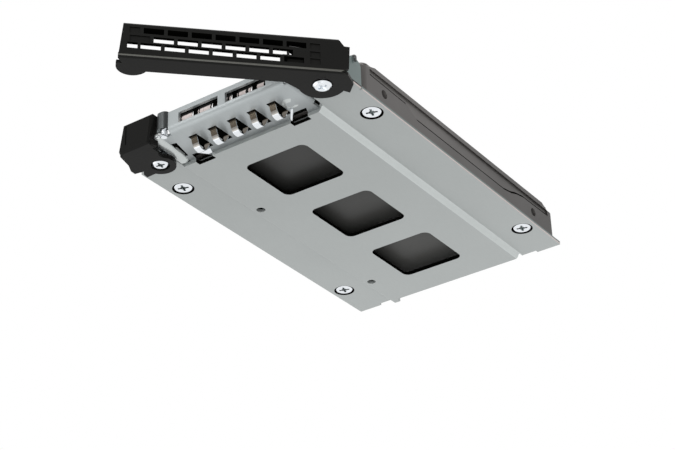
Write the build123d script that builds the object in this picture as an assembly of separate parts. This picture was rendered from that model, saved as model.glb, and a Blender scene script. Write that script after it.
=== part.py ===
from build123d import *
import math
import os

# A slide-in tray for one 2.5-inch drive, with the drive screwed in.
# Millimetres. +Z is up, the front handle is towards -Y and the drive's connector towards +Y.
# The origin is on the underside of the pan, between the front and middle windows.

# Drive
DRIVE_WIDTH = 69.85
DRIVE_LENGTH = 100.45
DRIVE_HEIGHT = 9.5
DRIVE_FRONT_Y = -33.45
COVER_RISE = 0.6
HOLE_INSET = 4.065
FRONT_HOLE_SETBACK = 9.85
HOLE_PITCH = 76.6
BOTTOM_HOLE_DEPTH = 2.2
SIDE_HOLE_HEIGHT = 3.0
SIDE_HOLE_DEPTH = 2.4
M3_TAP_RADIUS = 1.25
M3_RADIUS = 1.5
CASTING_SETBACK = 1.8
CASTING_CORNER = 2.0
RELIEF_DEPTH = 0.5
RELIEF_END = 3.4
RELIEF_HIGH = 5.6
RELIEF_LOW = 2.95
RELIEF_DIP_START = 17.0
RELIEF_DIP_RUN = 5.0
RELIEF_RISE_END = 14.0
RELIEF_RISE_RUN = 11.0
BOARD_SIDE_INSET = 8.425
BOARD_FRONT_INSET = 3.0
BOARD_POCKET_DEPTH = 2.6
BOARD_THICKNESS = 1.0
BOARD_LIFT = 1.1
INSULATOR_THICKNESS = 0.4
BOARD_PAD = 4.0
BOARD_SCREW_INSET = 4.5
BOARD_SCREW_FRONT = 31.0
BOARD_SCREW_REAR = 5.0
SMALL_SCREW_RADIUS = 0.78
SMALL_HEAD_RADIUS = 1.7
SMALL_HEAD_HEIGHT = 0.35
COVER_RIM_HEIGHT = 0.35
COVER_SCREW_INSET = 3.5
COVER_DISC_FRONT = 5.0
COVER_TAIL_REAR = 8.0
COVER_EDGE_GAP = 0.8
COVER_FRONT_GAP = 1.6
COVER_REAR_GAP = 1.0

# Base plate
PLATE_MARGIN = 0.025
STRIP_WIDTH = 13.05
SHEET = 1.0
PAN_DROP = 1.5
JOGGLE_RUN = 1.0
JOGGLE_BEND = 0.7
PAN_REAR_SETBACK = 1.7
PAN_FRONT_GAP = 0.75
STRIP_TAB_WIDTH = 7.5
STRIP_TAB_REACH = 1.0
WINDOW_SIZE = 19.5
WINDOW_PITCH = 29.7
WINDOW_X = 0.25
FIRST_WINDOW_Y = -14.75
WINDOW_CORNER = 2.1
SMALL_HOLE_X = -19.7
SMALL_HOLE_PITCH = 54.5
SMALL_HOLE_Y = -3.5
SMALL_HOLE_RADIUS = 1.25
PAN_NOTCH_REAR_Y = -32.6
RIGHT_PAN_NOTCH = (13.0, 18.4)
LEFT_PAN_NOTCH = (-17.9, -12.4)
ARM_GAP = 0.3
ARM_FRONT_Y = -48.2
ARM_CORNER = 3.4
LEFT_ARM_FRONT_Y = -43.8
LEFT_ARM_INSET = 3.55
LEFT_SHOULDER_Y = -37.7
LEFT_SHOULDER_CUT = 1.5
SIDE_EAR_FRONT_Y = -43.9
SIDE_EAR_STEP_Y = -39.6
SIDE_EAR_HEIGHT = 8.0
SIDE_EAR_LOW_HEIGHT = 3.6
SIDE_EAR_CORNER = 1.8

# Front bracket
BRACKET_SHEET = 0.8
WALL_Y = -48.8
WALL_TOP_Z = 7.1
WALL_LEFT_INSET = 6.4
WALL_RIGHT_INSET = 0.9
BEND_RADIUS = 1.7
FLOOR_RIGHT_REACH = 0.1
FLOOR_LEFT_INSET = 2.3
FLOOR_CORNER_Y = -47.1
LAP_ON_PAN = 2.6
FLOOR_NOTCH_FRONT_Y = -36.5
FLOOR_NOTCH_REAR_Y = -33.0
RIGHT_NOTCH_FRONT = (15.6, 19.5)
RIGHT_NOTCH_REAR = (12.1, 18.0)
LEFT_NOTCH_FRONT = (-17.4, -15.7)
LEFT_NOTCH_REAR = (-17.9, -13.2)
FACE_WINDOW_WIDTH = 12.8
FACE_WINDOW_HEIGHT = 2.95
FACE_WINDOW_Z = 2.75
FACE_WINDOW_LEFT_X = -12.0
FACE_WINDOW_PITCH = 15.1
ROLL_RADIUS = 1.8
ROLL_OFFSET = 1.5
ROLL_BOTTOM_Z = 2.3
WING_EDGE_INSET = 1.95
WING_BEND = 0.4
WING_OVERLAP = 0.6
RIGHT_WING_FRONT_Y = -48.0
RIGHT_WING_REAR_Y = -37.0
RIGHT_SLOPE_RUN = 0.9
LEFT_WING_FRONT_Y = -43.9
LEFT_SLOPE_FRONT_Y = -47.8
LEFT_SLOPE_REAR_Y = -34.6
LEFT_SLOPE_CLEAR_X = -21.4
LEFT_SLOPE_SKEW = 0.5
LEFT_SLOPE_FRONT_RUN = 2.1
LEFT_SLOPE_REAR_RUN = 3.3
SIDE_SLOT_X = -18.4
SIDE_SLOT_Y = -40.3
SIDE_SLOT_WIDTH = 1.5
SIDE_SLOT_LENGTH = 6.8
SIDE_SLOT_ANGLE = 12
DIMPLE_X = 17.5
DIMPLE_Y = -40.5
DIMPLE_RADIUS = 2.2
DIMPLE_DEPTH = 0.35

# Contact springs
SPRING_SHEET = 0.2
FINGER_COUNT = 5
FINGER_PITCH = 6.3
FINGER_WIDTH = 1.9
FIRST_FINGER_X = -11.4
FINGER_FRONT_Y = -43.5
FINGER_REAR_Y = -37.1
FINGER_FRONT_LEAN = 1.3
FINGER_REAR_LEAN = 1.9
FINGER_BOTTOM_Z = -1.8
FINGER_BEND = 1.2
FINGER_STRIP_WIDTH = 1.9
SLOT_MARGIN = 0.4
FACE_STRIP_Y = -47.0
FACE_STRIP_TOP_Z = 6.9
FACE_STRIP_FOOT = 0.8
FIRST_TONGUE_X = -10.65
TONGUE_COUNT = 5
TONGUE_PITCH = 6.3
TONGUE_WIDTH = 4.3
TONGUE_LOW_Z = 2.9
TONGUE_CREST_Z = 4.3
TONGUE_HIGH_Z = 6.2
TONGUE_BOW = 0.65

# Handle, in its own frame: U along the face from its free end, V behind the face, H up
OPEN_ANGLE = 45.1
PIVOT_INSET = 4.45
PIVOT_Y = -45.0
PIVOT_V = 6.1
FREE_END_GAP = 0.3
HANDLE_SHEET = 1.0
HANDLE_HEIGHT = 10.0
HANDLE_BOTTOM_Z = -1.1
TOP_FLANGE_DEPTH = 5.0
FACE_PAST_PIVOT = 3.1
FREE_END_SLANT = 1.1
CORNER_TAB_REACH = 2.9
CORNER_TAB_LOW = 1.2
CORNER_TAB_HIGH = 7.6
HOOK_RADIUS = 4.0
HOOK_U = 3.7
HOOK_V = 4.1
HOOK_NOTCH_DEPTH = 0.9
EAR_RADIUS = 6.0
EAR_REACH = 4.5
EAR_LENGTH = 9.4
EAR_SHOULDER = 6.3
EAR_SHOULDER_V = 8.1
HANDLE_BEND = 0.9
SLOT_LENGTH = 4.9
SLOT_HEIGHT = 1.65
SLOT_PITCH = 5.79
ROW_1_U = 5.95
ROW_1_H = 7.85
ROW_1_COUNT = 7
ROW_2_U = 8.4
ROW_2_H = 5.45
ROW_2_COUNT = 6
ROW_3_U = 5.3
ROW_3_H = 3.4
ROW_3_COUNT = 7
ROW_FALL = 0.0178
SHORT_SLOT_U = 2.1
SHORT_SLOT_LENGTH = 2.5
BLIND_DEPTH = 0.3
KEEPER_U = 41.0
KEEPER_WIDTH = 4.4
KEEPER_HEIGHT = 4.8
KEEPER_GAP = 0.15
KEEPER_THICKNESS = 0.85

# Handle pivot
PIVOT_RADIUS = 1.5
PIVOT_CLEARANCE = 0.05
PIVOT_HEAD_RADIUS = 2.35
PIVOT_HEAD_HEIGHT = 0.9
PIVOT_WELL_DEPTH = 0.35
PIVOT_END_PLAY = 0.12
HEAD_WELL_MARGIN = 0.35
SPACER_RADIUS = 2.7
NUT_BARREL_RADIUS = 2.3
NUT_FLANGE_RADIUS = 3.1
NUT_FLANGE_HEIGHT = 1.1
RING_THICKNESS = 0.4
RING_RADIUS = 2.7
RING_GROOVE_RADIUS = 1.15
RING_MOUTH = 1.8
COIL_RADIUS = 2.2
COIL_WIRE_RADIUS = 0.35
COIL_SEAT_GAP = 0.35
COIL_TOP_GAP = 0.3
WIRE_BEND = 0.5
EAR_HOOK_SETBACK = 3.7
EAR_HOOK_DROP = 1.8
MOVING_LEG_LENGTH = 10.0
MOVING_LEG_V = 2.45
MOVING_LEG_DROP = 4.2

# Latch
LATCH_PIVOT_INSET = 10.05
LATCH_PIVOT_Y = -40.3
LATCH_FRONT_Y = -51.1
LATCH_BLOCK_REAR_Y = -45.4
LATCH_LEFT_INSET = 4.65
LATCH_RIGHT_INSET = 14.75
LATCH_SLANT = 1.4
LATCH_CORNER = 1.1
LATCH_FRONT_CHAMFER = 0.5
LATCH_STEP_DEPTH = 1.4
LATCH_STEP_Y = -48.15
LATCH_BOTTOM_Z = -1.5
LATCH_TOP_Z = 7.2
LATCH_GROOVE_INSET = 2.4
LATCH_GROOVE_WIDTH = 0.5
LATCH_GROOVE_DEPTH = 0.25
LATCH_EAR_THICKNESS = 1.4
LATCH_EAR_RADIUS = 4.2
LATCH_EAR_REAR_Y = -37.9
LATCH_SCREW_RADIUS = 1.25
LATCH_HEAD_RADIUS = 2.15
LATCH_HEAD_HEIGHT = 0.7
LATCH_WELL_DEPTH = 1.0
LATCH_BORE_CLEARANCE = 0.05
TOOTH_REACH = 1.05
TOOTH_FRONT_Y = -50.2
TOOTH_TOP_Z = 0.2
LATCH_SPRING_RADIUS = 0.75
LATCH_SPRING_WIRE = 0.18
LATCH_SPRING_TURNS = 5
LATCH_SPRING_TOP_Z = 2.25
LATCH_SPRING_LEG_GAP = 0.06
SPRING_POST_Y = -48.4
SPRING_POST_RADIUS = 0.45
SPRING_POST_HEAD = 0.8

# Countersunk drive screws
SCREW_HEAD_RADIUS = 2.7
SINK_RADIUS = 3.05
SCREW_LENGTH = 3.0
SCREW_RECESS_DEPTH = 0.6
SINK_DEPTH = 0.9
HEAD_RECESS = 0.1

# Connector
PLUG_WIDTH = 42.0
PLUG_HEIGHT = 5.4
PLUG_DEPTH = 7.0
PLUG_CENTRE_X = 4.8
PLUG_LIFT = 0.8
PLUG_WALL = 0.9
PLUG_CAVITY_DEPTH = 4.6
BLADE_THICKNESS = 1.2
BLADE_SETBACK = 0.4
DATA_BLADE_WIDTH = 10.4
POWER_BLADE_WIDTH = 20.6
BLADE_GAP = 2.4
CONTACT_PITCH = 1.27
CONTACT_WIDTH = 0.8
CONTACT_THICKNESS = 0.15
CONTACT_SETBACK = 1.0
DATA_CONTACTS = 7
POWER_CONTACTS = 15

# Places that follow from the sizes above
STRIP_Z = PAN_DROP
DRIVE_Z = PAN_DROP + SHEET
CONNECTOR_Y = DRIVE_FRONT_Y + DRIVE_LENGTH
CASTING_REAR_Y = CONNECTOR_Y - CASTING_SETBACK
CASTING_HEIGHT = DRIVE_HEIGHT - COVER_RISE
CASTING_TOP_Z = DRIVE_Z + CASTING_HEIGHT
FRONT_HOLE_Y = DRIVE_FRONT_Y + FRONT_HOLE_SETBACK
REAR_HOLE_Y = FRONT_HOLE_Y + HOLE_PITCH
HOLE_X = DRIVE_WIDTH / 2 - HOLE_INSET
PLATE_HALF = DRIVE_WIDTH / 2 + PLATE_MARGIN
PAN_HALF = PLATE_HALF - STRIP_WIDTH
PAN_FRONT_Y = DRIVE_FRONT_Y - PAN_FRONT_GAP
PAN_REAR_Y = CONNECTOR_Y - PAN_REAR_SETBACK
PLATE_REAR_Y = CONNECTOR_Y + STRIP_TAB_REACH
ARM_INNER_X = PAN_HALF + JOGGLE_RUN + ARM_GAP
LEFT_ARM_OUTER_X = LEFT_ARM_INSET - PLATE_HALF
FLOOR_Z = SHEET
FLOOR_TOP_Z = FLOOR_Z + BRACKET_SHEET
FLOOR_RIGHT_X = PAN_HALF + FLOOR_RIGHT_REACH
FLOOR_LEFT_X = FLOOR_LEFT_INSET - PAN_HALF
WALL_RIGHT_X = PAN_HALF - WALL_RIGHT_INSET
WALL_LEFT_X = WALL_LEFT_INSET - PAN_HALF
WALL_BACK_Y = WALL_Y + BRACKET_SHEET
ROLL_X = WALL_LEFT_X - ROLL_OFFSET
WING_EDGE_X = PLATE_HALF - WING_EDGE_INSET
WING_TOP_Z = DRIVE_Z + BRACKET_SHEET
PIVOT_X = PLATE_HALF - PIVOT_INSET
LATCH_PIVOT_X = LATCH_PIVOT_INSET - PLATE_HALF
LATCH_LEFT_X = LATCH_LEFT_INSET - PLATE_HALF
LATCH_RIGHT_X = LATCH_RIGHT_INSET - PLATE_HALF
LATCH_INNER_RIGHT_X = LATCH_RIGHT_X - LATCH_STEP_DEPTH
PIVOT_U = PIVOT_X - LATCH_RIGHT_X - FREE_END_GAP
FACE_LENGTH = PIVOT_U + FACE_PAST_PIVOT
CORNER_TAB_U = FACE_LENGTH + CORNER_TAB_REACH
EAR_END_U = FACE_LENGTH + EAR_REACH
EAR_START_U = PIVOT_U - EAR_LENGTH
EAR_SHOULDER_U = PIVOT_U - EAR_SHOULDER
HANDLE_TOP_Z = HANDLE_BOTTOM_Z + HANDLE_HEIGHT
COIL_Z = WING_TOP_Z + NUT_FLANGE_HEIGHT + COIL_SEAT_GAP
COIL_ROOM = HANDLE_TOP_Z - HANDLE_SHEET - COIL_TOP_GAP - COIL_Z
COIL_TURNS = int(COIL_ROOM / (2 * COIL_WIRE_RADIUS))
DRIVE_HOLES = [(side * HOLE_X, y) for y in (FRONT_HOLE_Y, REAR_HOLE_Y) for side in (-1, 1)]


def block(x0, x1, y0, y1, z0, z1):
    """A box given by its limits."""
    size = Box(x1 - x0, y1 - y0, z1 - z0)
    return Pos((x0 + x1) / 2, (y0 + y1) / 2, (z0 + z1) / 2) * size


def rod(x, y, z0, z1, radius):
    """An upright cylinder from z0 to z1."""
    return Pos(x, y, (z0 + z1) / 2) * Cylinder(radius, z1 - z0)


def prism(points, z0, z1):
    """A straight-sided plate with the given outline seen from above."""
    face = make_face(Polyline(*points, close=True))
    return Pos(0, 0, z0) * extrude(face, z1 - z0)


def side_prism(points, x0, x1):
    """A plate standing across X, its outline given as (y, z) points."""
    face = Plane.YZ * make_face(Polyline(*points, close=True))
    return Pos(x0, 0, 0) * extrude(face, x1 - x0)


def cross_recess(x, y, z, size, depth):
    """The four-armed driver recess in a screw head that faces down."""
    arm = Box(size, size / 4, depth)
    return Pos(x, y, z + depth / 2) * (arm + Rot(0, 0, 90) * arm)


def stud(x, y, z0, z1, radius):
    """A twelve-sided upright bar, for screw shanks and their holes inside the drive."""
    return Pos(x, y, z0) * extrude(RegularPolygon(radius, 12), z1 - z0)


def wire(points, radius):
    """Eight-sided wire along a path with bent corners."""
    path = FilletPolyline(*points, radius=WIRE_BEND)
    section = Plane(origin=path @ 0, z_dir=path % 0) * RegularPolygon(radius, 8)
    return sweep(section, path)


def coil(turns, radius, wire_radius):
    """A closed-wound coil along +Z: one turned body with a groove between the turns."""
    rise = 2 * wire_radius
    flat = 0.4 * wire_radius
    groove = 0.3 * wire_radius
    outer = [(radius + flat, 0)]
    for i in range(turns):
        middle = wire_radius + i * rise
        outer += [(radius + wire_radius, middle - flat), (radius + wire_radius, middle + flat)]
        if i < turns - 1:
            outer.append((radius + groove, middle + wire_radius))
    outer.append((radius + flat, turns * rise))
    inner = [(2 * radius - r, z) for r, z in reversed(outer)]
    return revolve(Plane.XZ * make_face(Polyline(*outer, *inner, close=True)), Axis.Z)


# Base plate

def plate_section():
    """The pressed sheet seen from the front: two side strips and a lower pan."""
    slope = math.atan2(PAN_DROP, JOGGLE_RUN)
    shift = SHEET * math.tan(slope / 2)
    outer = PAN_HALF + JOGGLE_RUN
    lower = [(PAN_HALF, 0), (outer, PAN_DROP), (PLATE_HALF, PAN_DROP)]
    upper = [(PLATE_HALF, DRIVE_Z), (outer - shift, DRIVE_Z), (PAN_HALF - shift, SHEET)]
    right = lower + upper
    left = [(-x, z) for x, z in reversed(right)]
    return right + left


def pan_body():
    face = Plane.XZ * make_face(Polyline(*plate_section(), close=True))
    body = Pos(0, PLATE_REAR_Y, 0) * extrude(face, PLATE_REAR_Y - PAN_FRONT_Y)
    bend_lines = body.edges().filter_by(Axis.Y).filter_by(
        lambda e: abs(abs(e.center().X) - PLATE_HALF) > 1)
    body = fillet(bend_lines, JOGGLE_BEND)
    left_end = 2 - PAN_HALF
    pan_trim = block(left_end, PAN_HALF + JOGGLE_RUN, PAN_REAR_Y, PLATE_REAR_Y + 1, -1, DRIVE_Z + 1)
    body -= pan_trim
    inner = PLATE_HALF - STRIP_TAB_WIDTH
    return body - block(-inner, inner, CONNECTOR_Y, PLATE_REAR_Y + 1, -1, DRIVE_Z + 1)


def right_arm():
    """Carries the handle's pivot and turns up into the side ear."""
    arm = block(ARM_INNER_X, PLATE_HALF, ARM_FRONT_Y, PAN_FRONT_Y, STRIP_Z, DRIVE_Z)
    front_corner = arm.edges().filter_by(Axis.Z).sort_by(Axis.Y)[0:2].sort_by(Axis.X)[-1:]
    arm = chamfer(front_corner, ARM_CORNER)
    top = STRIP_Z + SIDE_EAR_HEIGHT
    low = STRIP_Z + SIDE_EAR_LOW_HEIGHT
    outline = [
        (SIDE_EAR_FRONT_Y, STRIP_Z), (PAN_FRONT_Y, STRIP_Z), (PAN_FRONT_Y, top),
        (SIDE_EAR_STEP_Y, top), (SIDE_EAR_STEP_Y, low), (SIDE_EAR_FRONT_Y, low),
    ]
    ear = side_prism(outline, PLATE_HALF - SHEET, PLATE_HALF)
    upright = ear.edges().filter_by(Axis.X)
    corners = upright.filter_by(lambda e: e.center().Z > top - 0.1)
    ear = fillet(corners, SIDE_EAR_CORNER)
    arm += ear
    outer_bend = arm.edges().filter_by(Axis.Y).filter_by(
        lambda e: abs(e.center().X - PLATE_HALF) < 0.01 and abs(e.center().Z - STRIP_Z) < 0.01)
    return fillet(outer_bend.filter_by(lambda e: e.center().Y > SIDE_EAR_FRONT_Y), 0.9 * SHEET)


def left_arm():
    """Carries the latch's pivot under the strip's front end."""
    outline = [
        (-ARM_INNER_X, PAN_FRONT_Y), (-PLATE_HALF, PAN_FRONT_Y),
        (-PLATE_HALF, LEFT_SHOULDER_Y + LEFT_SHOULDER_CUT),
        (LEFT_SHOULDER_CUT - PLATE_HALF, LEFT_SHOULDER_Y), (LEFT_ARM_OUTER_X, LEFT_SHOULDER_Y),
        (LEFT_ARM_OUTER_X, LEFT_ARM_FRONT_Y), (-ARM_INNER_X, LEFT_ARM_FRONT_Y),
    ]
    return prism(outline, STRIP_Z, DRIVE_Z)


def window(index):
    y = FIRST_WINDOW_Y + index * WINDOW_PITCH
    outline = RectangleRounded(WINDOW_SIZE, WINDOW_SIZE, WINDOW_CORNER)
    return Pos(WINDOW_X, y, -1) * extrude(outline, SHEET + 2)


def countersink(x, y):
    """A screw hole with its cone opening downwards."""
    cone = Pos(x, y, STRIP_Z + SINK_DEPTH / 2) * Cone(SINK_RADIUS, M3_RADIUS + 0.2, SINK_DEPTH)
    return cone + rod(x, y, STRIP_Z, DRIVE_Z + 0.5, M3_RADIUS + 0.2)


def pan_notch(span):
    """A square relief in the pan's front edge."""
    return block(span[0], span[1], PAN_FRONT_Y - 1, PAN_NOTCH_REAR_Y, -1, DRIVE_Z - 0.01)


def floor_notch(front, rear):
    """A skewed relief in the bracket's floor, over the pan's own relief."""
    return prism([
        (front[0], FLOOR_NOTCH_FRONT_Y), (front[1], FLOOR_NOTCH_FRONT_Y),
        (rear[1], FLOOR_NOTCH_REAR_Y), (rear[0], FLOOR_NOTCH_REAR_Y),
    ], FLOOR_Z - 1, FLOOR_TOP_Z + 1)


def base_plate():
    body = pan_body() + right_arm() + left_arm()
    body -= pan_notch(RIGHT_PAN_NOTCH)
    body -= pan_notch(LEFT_PAN_NOTCH)
    for index in range(3):
        body -= window(index)
    for x, y in DRIVE_HOLES:
        body -= countersink(x, y)
    for index in range(2):
        y = SMALL_HOLE_Y + index * SMALL_HOLE_PITCH
        body -= rod(SMALL_HOLE_X, y, -1, SHEET + 1, SMALL_HOLE_RADIUS)
    body -= rod(PIVOT_X, PIVOT_Y, STRIP_Z - 1, DRIVE_Z + 1, NUT_BARREL_RADIUS)
    body -= rod(LATCH_PIVOT_X, LATCH_PIVOT_Y, STRIP_Z - 1, DRIVE_Z + 1, NUT_BARREL_RADIUS)
    return body


# Front bracket

def bracket_shell():
    """Floor and front wall folded from one sheet with a round bend."""
    rear = FLOOR_NOTCH_FRONT_Y
    outer = [(rear, FLOOR_Z), (WALL_Y, FLOOR_Z), (WALL_Y, WALL_TOP_Z)]
    inner = [(WALL_BACK_Y, WALL_TOP_Z), (WALL_BACK_Y, FLOOR_TOP_Z), (rear, FLOOR_TOP_Z)]
    body = side_prism(outer + inner, WALL_LEFT_X, WALL_RIGHT_X)
    outside = (WALL_Y, FLOOR_Z, BEND_RADIUS)
    inside = (WALL_BACK_Y, FLOOR_TOP_Z, BEND_RADIUS - BRACKET_SHEET)
    for y, z, radius in (outside, inside):
        bend = body.edges().filter_by(Axis.X).filter_by(
            lambda e: abs(e.center().Y - y) < 0.01 and abs(e.center().Z - z) < 0.01)
        body = fillet(bend, radius)
    return body


def bracket_floor():
    """The flat floor, which laps on the pan between and beside the two reliefs."""
    rear = PAN_FRONT_Y + LAP_ON_PAN
    floor = block(WALL_LEFT_X, WALL_RIGHT_X, WALL_Y + BEND_RADIUS, rear, FLOOR_Z, FLOOR_TOP_Z)
    floor += block(FLOOR_LEFT_X, WALL_LEFT_X, FLOOR_CORNER_Y, PAN_FRONT_Y, FLOOR_Z, FLOOR_TOP_Z)
    floor += block(FLOOR_LEFT_X + 2 * SHEET, WALL_LEFT_X, PAN_FRONT_Y, rear, FLOOR_Z, FLOOR_TOP_Z)
    return floor + block(WALL_RIGHT_X, FLOOR_RIGHT_X, RIGHT_WING_FRONT_Y, PAN_FRONT_Y, FLOOR_Z, FLOOR_TOP_Z)


def wing_section(side, y, edge, run):
    """The sheet seen from the front: floor's edge, slope, and the flat that lies on the arm."""
    low = FLOOR_Z + BRACKET_SHEET / 2
    high = DRIVE_Z + BRACKET_SHEET / 2
    points = [(edge - WING_OVERLAP, low), (edge, low), (edge + run, high), (WING_EDGE_X, high)]
    path = FilletPolyline(*[(side * x, z) for x, z in points], radius=WING_BEND)
    return Pos(0, y, 0) * (Plane.XZ * trace(path, BRACKET_SHEET))


def right_wing():
    section = wing_section(1, RIGHT_WING_REAR_Y, FLOOR_RIGHT_X, RIGHT_SLOPE_RUN)
    return extrude(section, RIGHT_WING_REAR_Y - RIGHT_WING_FRONT_Y)


def left_wing():
    """Its slope widens towards the rear; at the front only the slope is left, clear of the latch."""
    front_edge = -FLOOR_LEFT_X - LEFT_SLOPE_SKEW
    front = wing_section(-1, LEFT_SLOPE_FRONT_Y, front_edge, LEFT_SLOPE_FRONT_RUN)
    rear = wing_section(-1, LEFT_SLOPE_REAR_Y, -FLOOR_LEFT_X, LEFT_SLOPE_REAR_RUN)
    body = loft([front.face(), rear.face()])
    return body - block(-PLATE_HALF, LEFT_SLOPE_CLEAR_X, LEFT_SLOPE_FRONT_Y - 1, LEFT_WING_FRONT_Y,
                        0, WING_TOP_Z + 1)


def roll():
    """The wall's left end rolled forward into a half tube, with a shelf for the spring post."""
    outer = rod(ROLL_X, WALL_BACK_Y, ROLL_BOTTOM_Z, WALL_TOP_Z, ROLL_RADIUS)
    inner = rod(ROLL_X, WALL_BACK_Y, FLOOR_Z, WALL_TOP_Z + 1, ROLL_RADIUS - BRACKET_SHEET)
    front = block(ROLL_X - ROLL_RADIUS, ROLL_X + ROLL_RADIUS, WALL_BACK_Y - ROLL_RADIUS, WALL_BACK_Y,
                  ROLL_BOTTOM_Z, WALL_TOP_Z)
    shelf = block(ROLL_X - ROLL_RADIUS, ROLL_X + ROLL_RADIUS, WALL_BACK_Y - ROLL_RADIUS,
                  SPRING_POST_Y + 2 * SPRING_POST_RADIUS, ROLL_BOTTOM_Z, ROLL_BOTTOM_Z + BRACKET_SHEET)
    return ((outer - inner) & front) + (outer & shelf)


def finger_xs():
    return [FIRST_FINGER_X + i * FINGER_PITCH for i in range(FINGER_COUNT)]


def front_bracket():
    body = bracket_shell() + bracket_floor() + roll() + right_wing() + left_wing()
    body -= floor_notch(RIGHT_NOTCH_FRONT, RIGHT_NOTCH_REAR)
    body -= floor_notch(LEFT_NOTCH_FRONT, LEFT_NOTCH_REAR)
    half_slot = FINGER_WIDTH / 2 + SLOT_MARGIN
    for x in finger_xs():
        body -= block(x - half_slot, x + half_slot, FINGER_FRONT_Y - SLOT_MARGIN,
                      FINGER_REAR_Y + SLOT_MARGIN, FLOOR_Z - 1, FLOOR_TOP_Z + 1)
    for i in range(2):
        left = FACE_WINDOW_LEFT_X + i * FACE_WINDOW_PITCH
        body -= block(left, left + FACE_WINDOW_WIDTH, WALL_Y - 1, WALL_BACK_Y + 1,
                      FACE_WINDOW_Z, FACE_WINDOW_Z + FACE_WINDOW_HEIGHT)
    slot = Rot(0, 0, SIDE_SLOT_ANGLE) * Box(SIDE_SLOT_WIDTH, SIDE_SLOT_LENGTH, 3 * BRACKET_SHEET)
    body -= Pos(SIDE_SLOT_X, SIDE_SLOT_Y, FLOOR_TOP_Z) * slot
    body -= rod(PIVOT_X, PIVOT_Y, DRIVE_Z - 0.5, WING_TOP_Z + 1, NUT_BARREL_RADIUS)
    body -= rod(LATCH_PIVOT_X, LATCH_PIVOT_Y, DRIVE_Z - 0.5, WING_TOP_Z + 1, NUT_BARREL_RADIUS)
    dimple = Cone(DIMPLE_RADIUS / 2, DIMPLE_RADIUS, DIMPLE_DEPTH)
    body += Pos(DIMPLE_X, DIMPLE_Y, FLOOR_Z - DIMPLE_DEPTH / 2) * dimple
    body -= Pos(DIMPLE_X, DIMPLE_Y, FLOOR_TOP_Z - DIMPLE_DEPTH / 2) * dimple
    return body - rod(ROLL_X, SPRING_POST_Y, FLOOR_Z, WALL_TOP_Z, SPRING_POST_RADIUS)


# Contact springs

def finger(x):
    """One bowed finger, from the strip down through its slot and back up."""
    top = FLOOR_TOP_Z + SPRING_SHEET / 2
    low = FINGER_BOTTOM_Z
    points = [
        (FINGER_FRONT_Y - 0.6, top), (FINGER_FRONT_Y + 0.1, top), (FINGER_FRONT_Y + FINGER_FRONT_LEAN, low),
        (FINGER_REAR_Y - FINGER_REAR_LEAN, low), (FINGER_REAR_Y, FLOOR_TOP_Z), (FINGER_REAR_Y - 0.8, top + 0.6),
    ]
    path = FilletPolyline(*points, radius=[0.4, FINGER_BEND, FINGER_BEND, 0.4])
    profile = Plane.YZ * trace(path, SPRING_SHEET)
    return Pos(x - FINGER_WIDTH / 2, 0, 0) * extrude(profile, FINGER_WIDTH)


def floor_springs():
    left = FIRST_FINGER_X - FINGER_PITCH / 2
    right = finger_xs()[-1] + FINGER_PITCH / 2
    strip_rear = FINGER_FRONT_Y - 0.5
    strip = block(left, right, strip_rear - FINGER_STRIP_WIDTH, strip_rear,
                  FLOOR_TOP_Z, FLOOR_TOP_Z + SPRING_SHEET)
    for x in finger_xs():
        strip += finger(x)
    return strip


def tongue(x):
    """One tongue, lanced out of the face strip and bowed forward towards its window."""
    skin = FACE_STRIP_Y + SPRING_SHEET / 2
    points = [(skin, TONGUE_HIGH_Z), (skin - TONGUE_BOW, TONGUE_CREST_Z), (skin, TONGUE_LOW_Z)]
    profile = Plane.YZ * trace(Polyline(*points), SPRING_SHEET)
    bowed = Pos(x - TONGUE_WIDTH / 2, 0, 0) * extrude(profile, TONGUE_WIDTH)
    hole = block(x - TONGUE_WIDTH / 2, x + TONGUE_WIDTH / 2, WALL_Y, skin + 1,
                 TONGUE_LOW_Z + SPRING_SHEET, TONGUE_HIGH_Z - SPRING_SHEET)
    return bowed, hole


def face_springs():
    """A strip on a foot behind the wall, with one tongue after the other bowed forward."""
    left = FIRST_TONGUE_X - TONGUE_PITCH / 2
    right = left + TONGUE_COUNT * TONGUE_PITCH
    rear = FACE_STRIP_Y + SPRING_SHEET
    strip = block(left, right, FACE_STRIP_Y, rear, FLOOR_TOP_Z, FACE_STRIP_TOP_Z)
    strip += block(left, right, rear, FACE_STRIP_Y + FACE_STRIP_FOOT, FLOOR_TOP_Z, FLOOR_TOP_Z + SPRING_SHEET)
    for i in range(TONGUE_COUNT):
        bowed, hole = tongue(FIRST_TONGUE_X + i * TONGUE_PITCH)
        strip = strip - hole + bowed
    return strip


# Handle

def place_handle(shape):
    """Moves a shape from the handle's own frame to its open place on the tray."""
    local = Pos(-PIVOT_U, -PIVOT_V, 0) * shape
    return Pos(PIVOT_X, PIVOT_Y, HANDLE_BOTTOM_Z) * Rot(0, 0, OPEN_ANGLE) * local


def flange_strip(start_u, depth, z0, z1):
    """A flange whose rear edge swells into the round ear about the pivot."""
    return prism([
        (start_u, 0), (FACE_LENGTH, 0), (PIVOT_U + EAR_RADIUS - 1, PIVOT_V - EAR_RADIUS / 2),
        (PIVOT_U, PIVOT_V), (PIVOT_U - EAR_RADIUS / 3, PIVOT_V + EAR_RADIUS * 0.94),
        (EAR_SHOULDER_U, EAR_SHOULDER_V), (EAR_START_U, depth), (start_u, depth),
    ], z0, z1) + rod(PIVOT_U, PIVOT_V, z0, z1, EAR_RADIUS)


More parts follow.
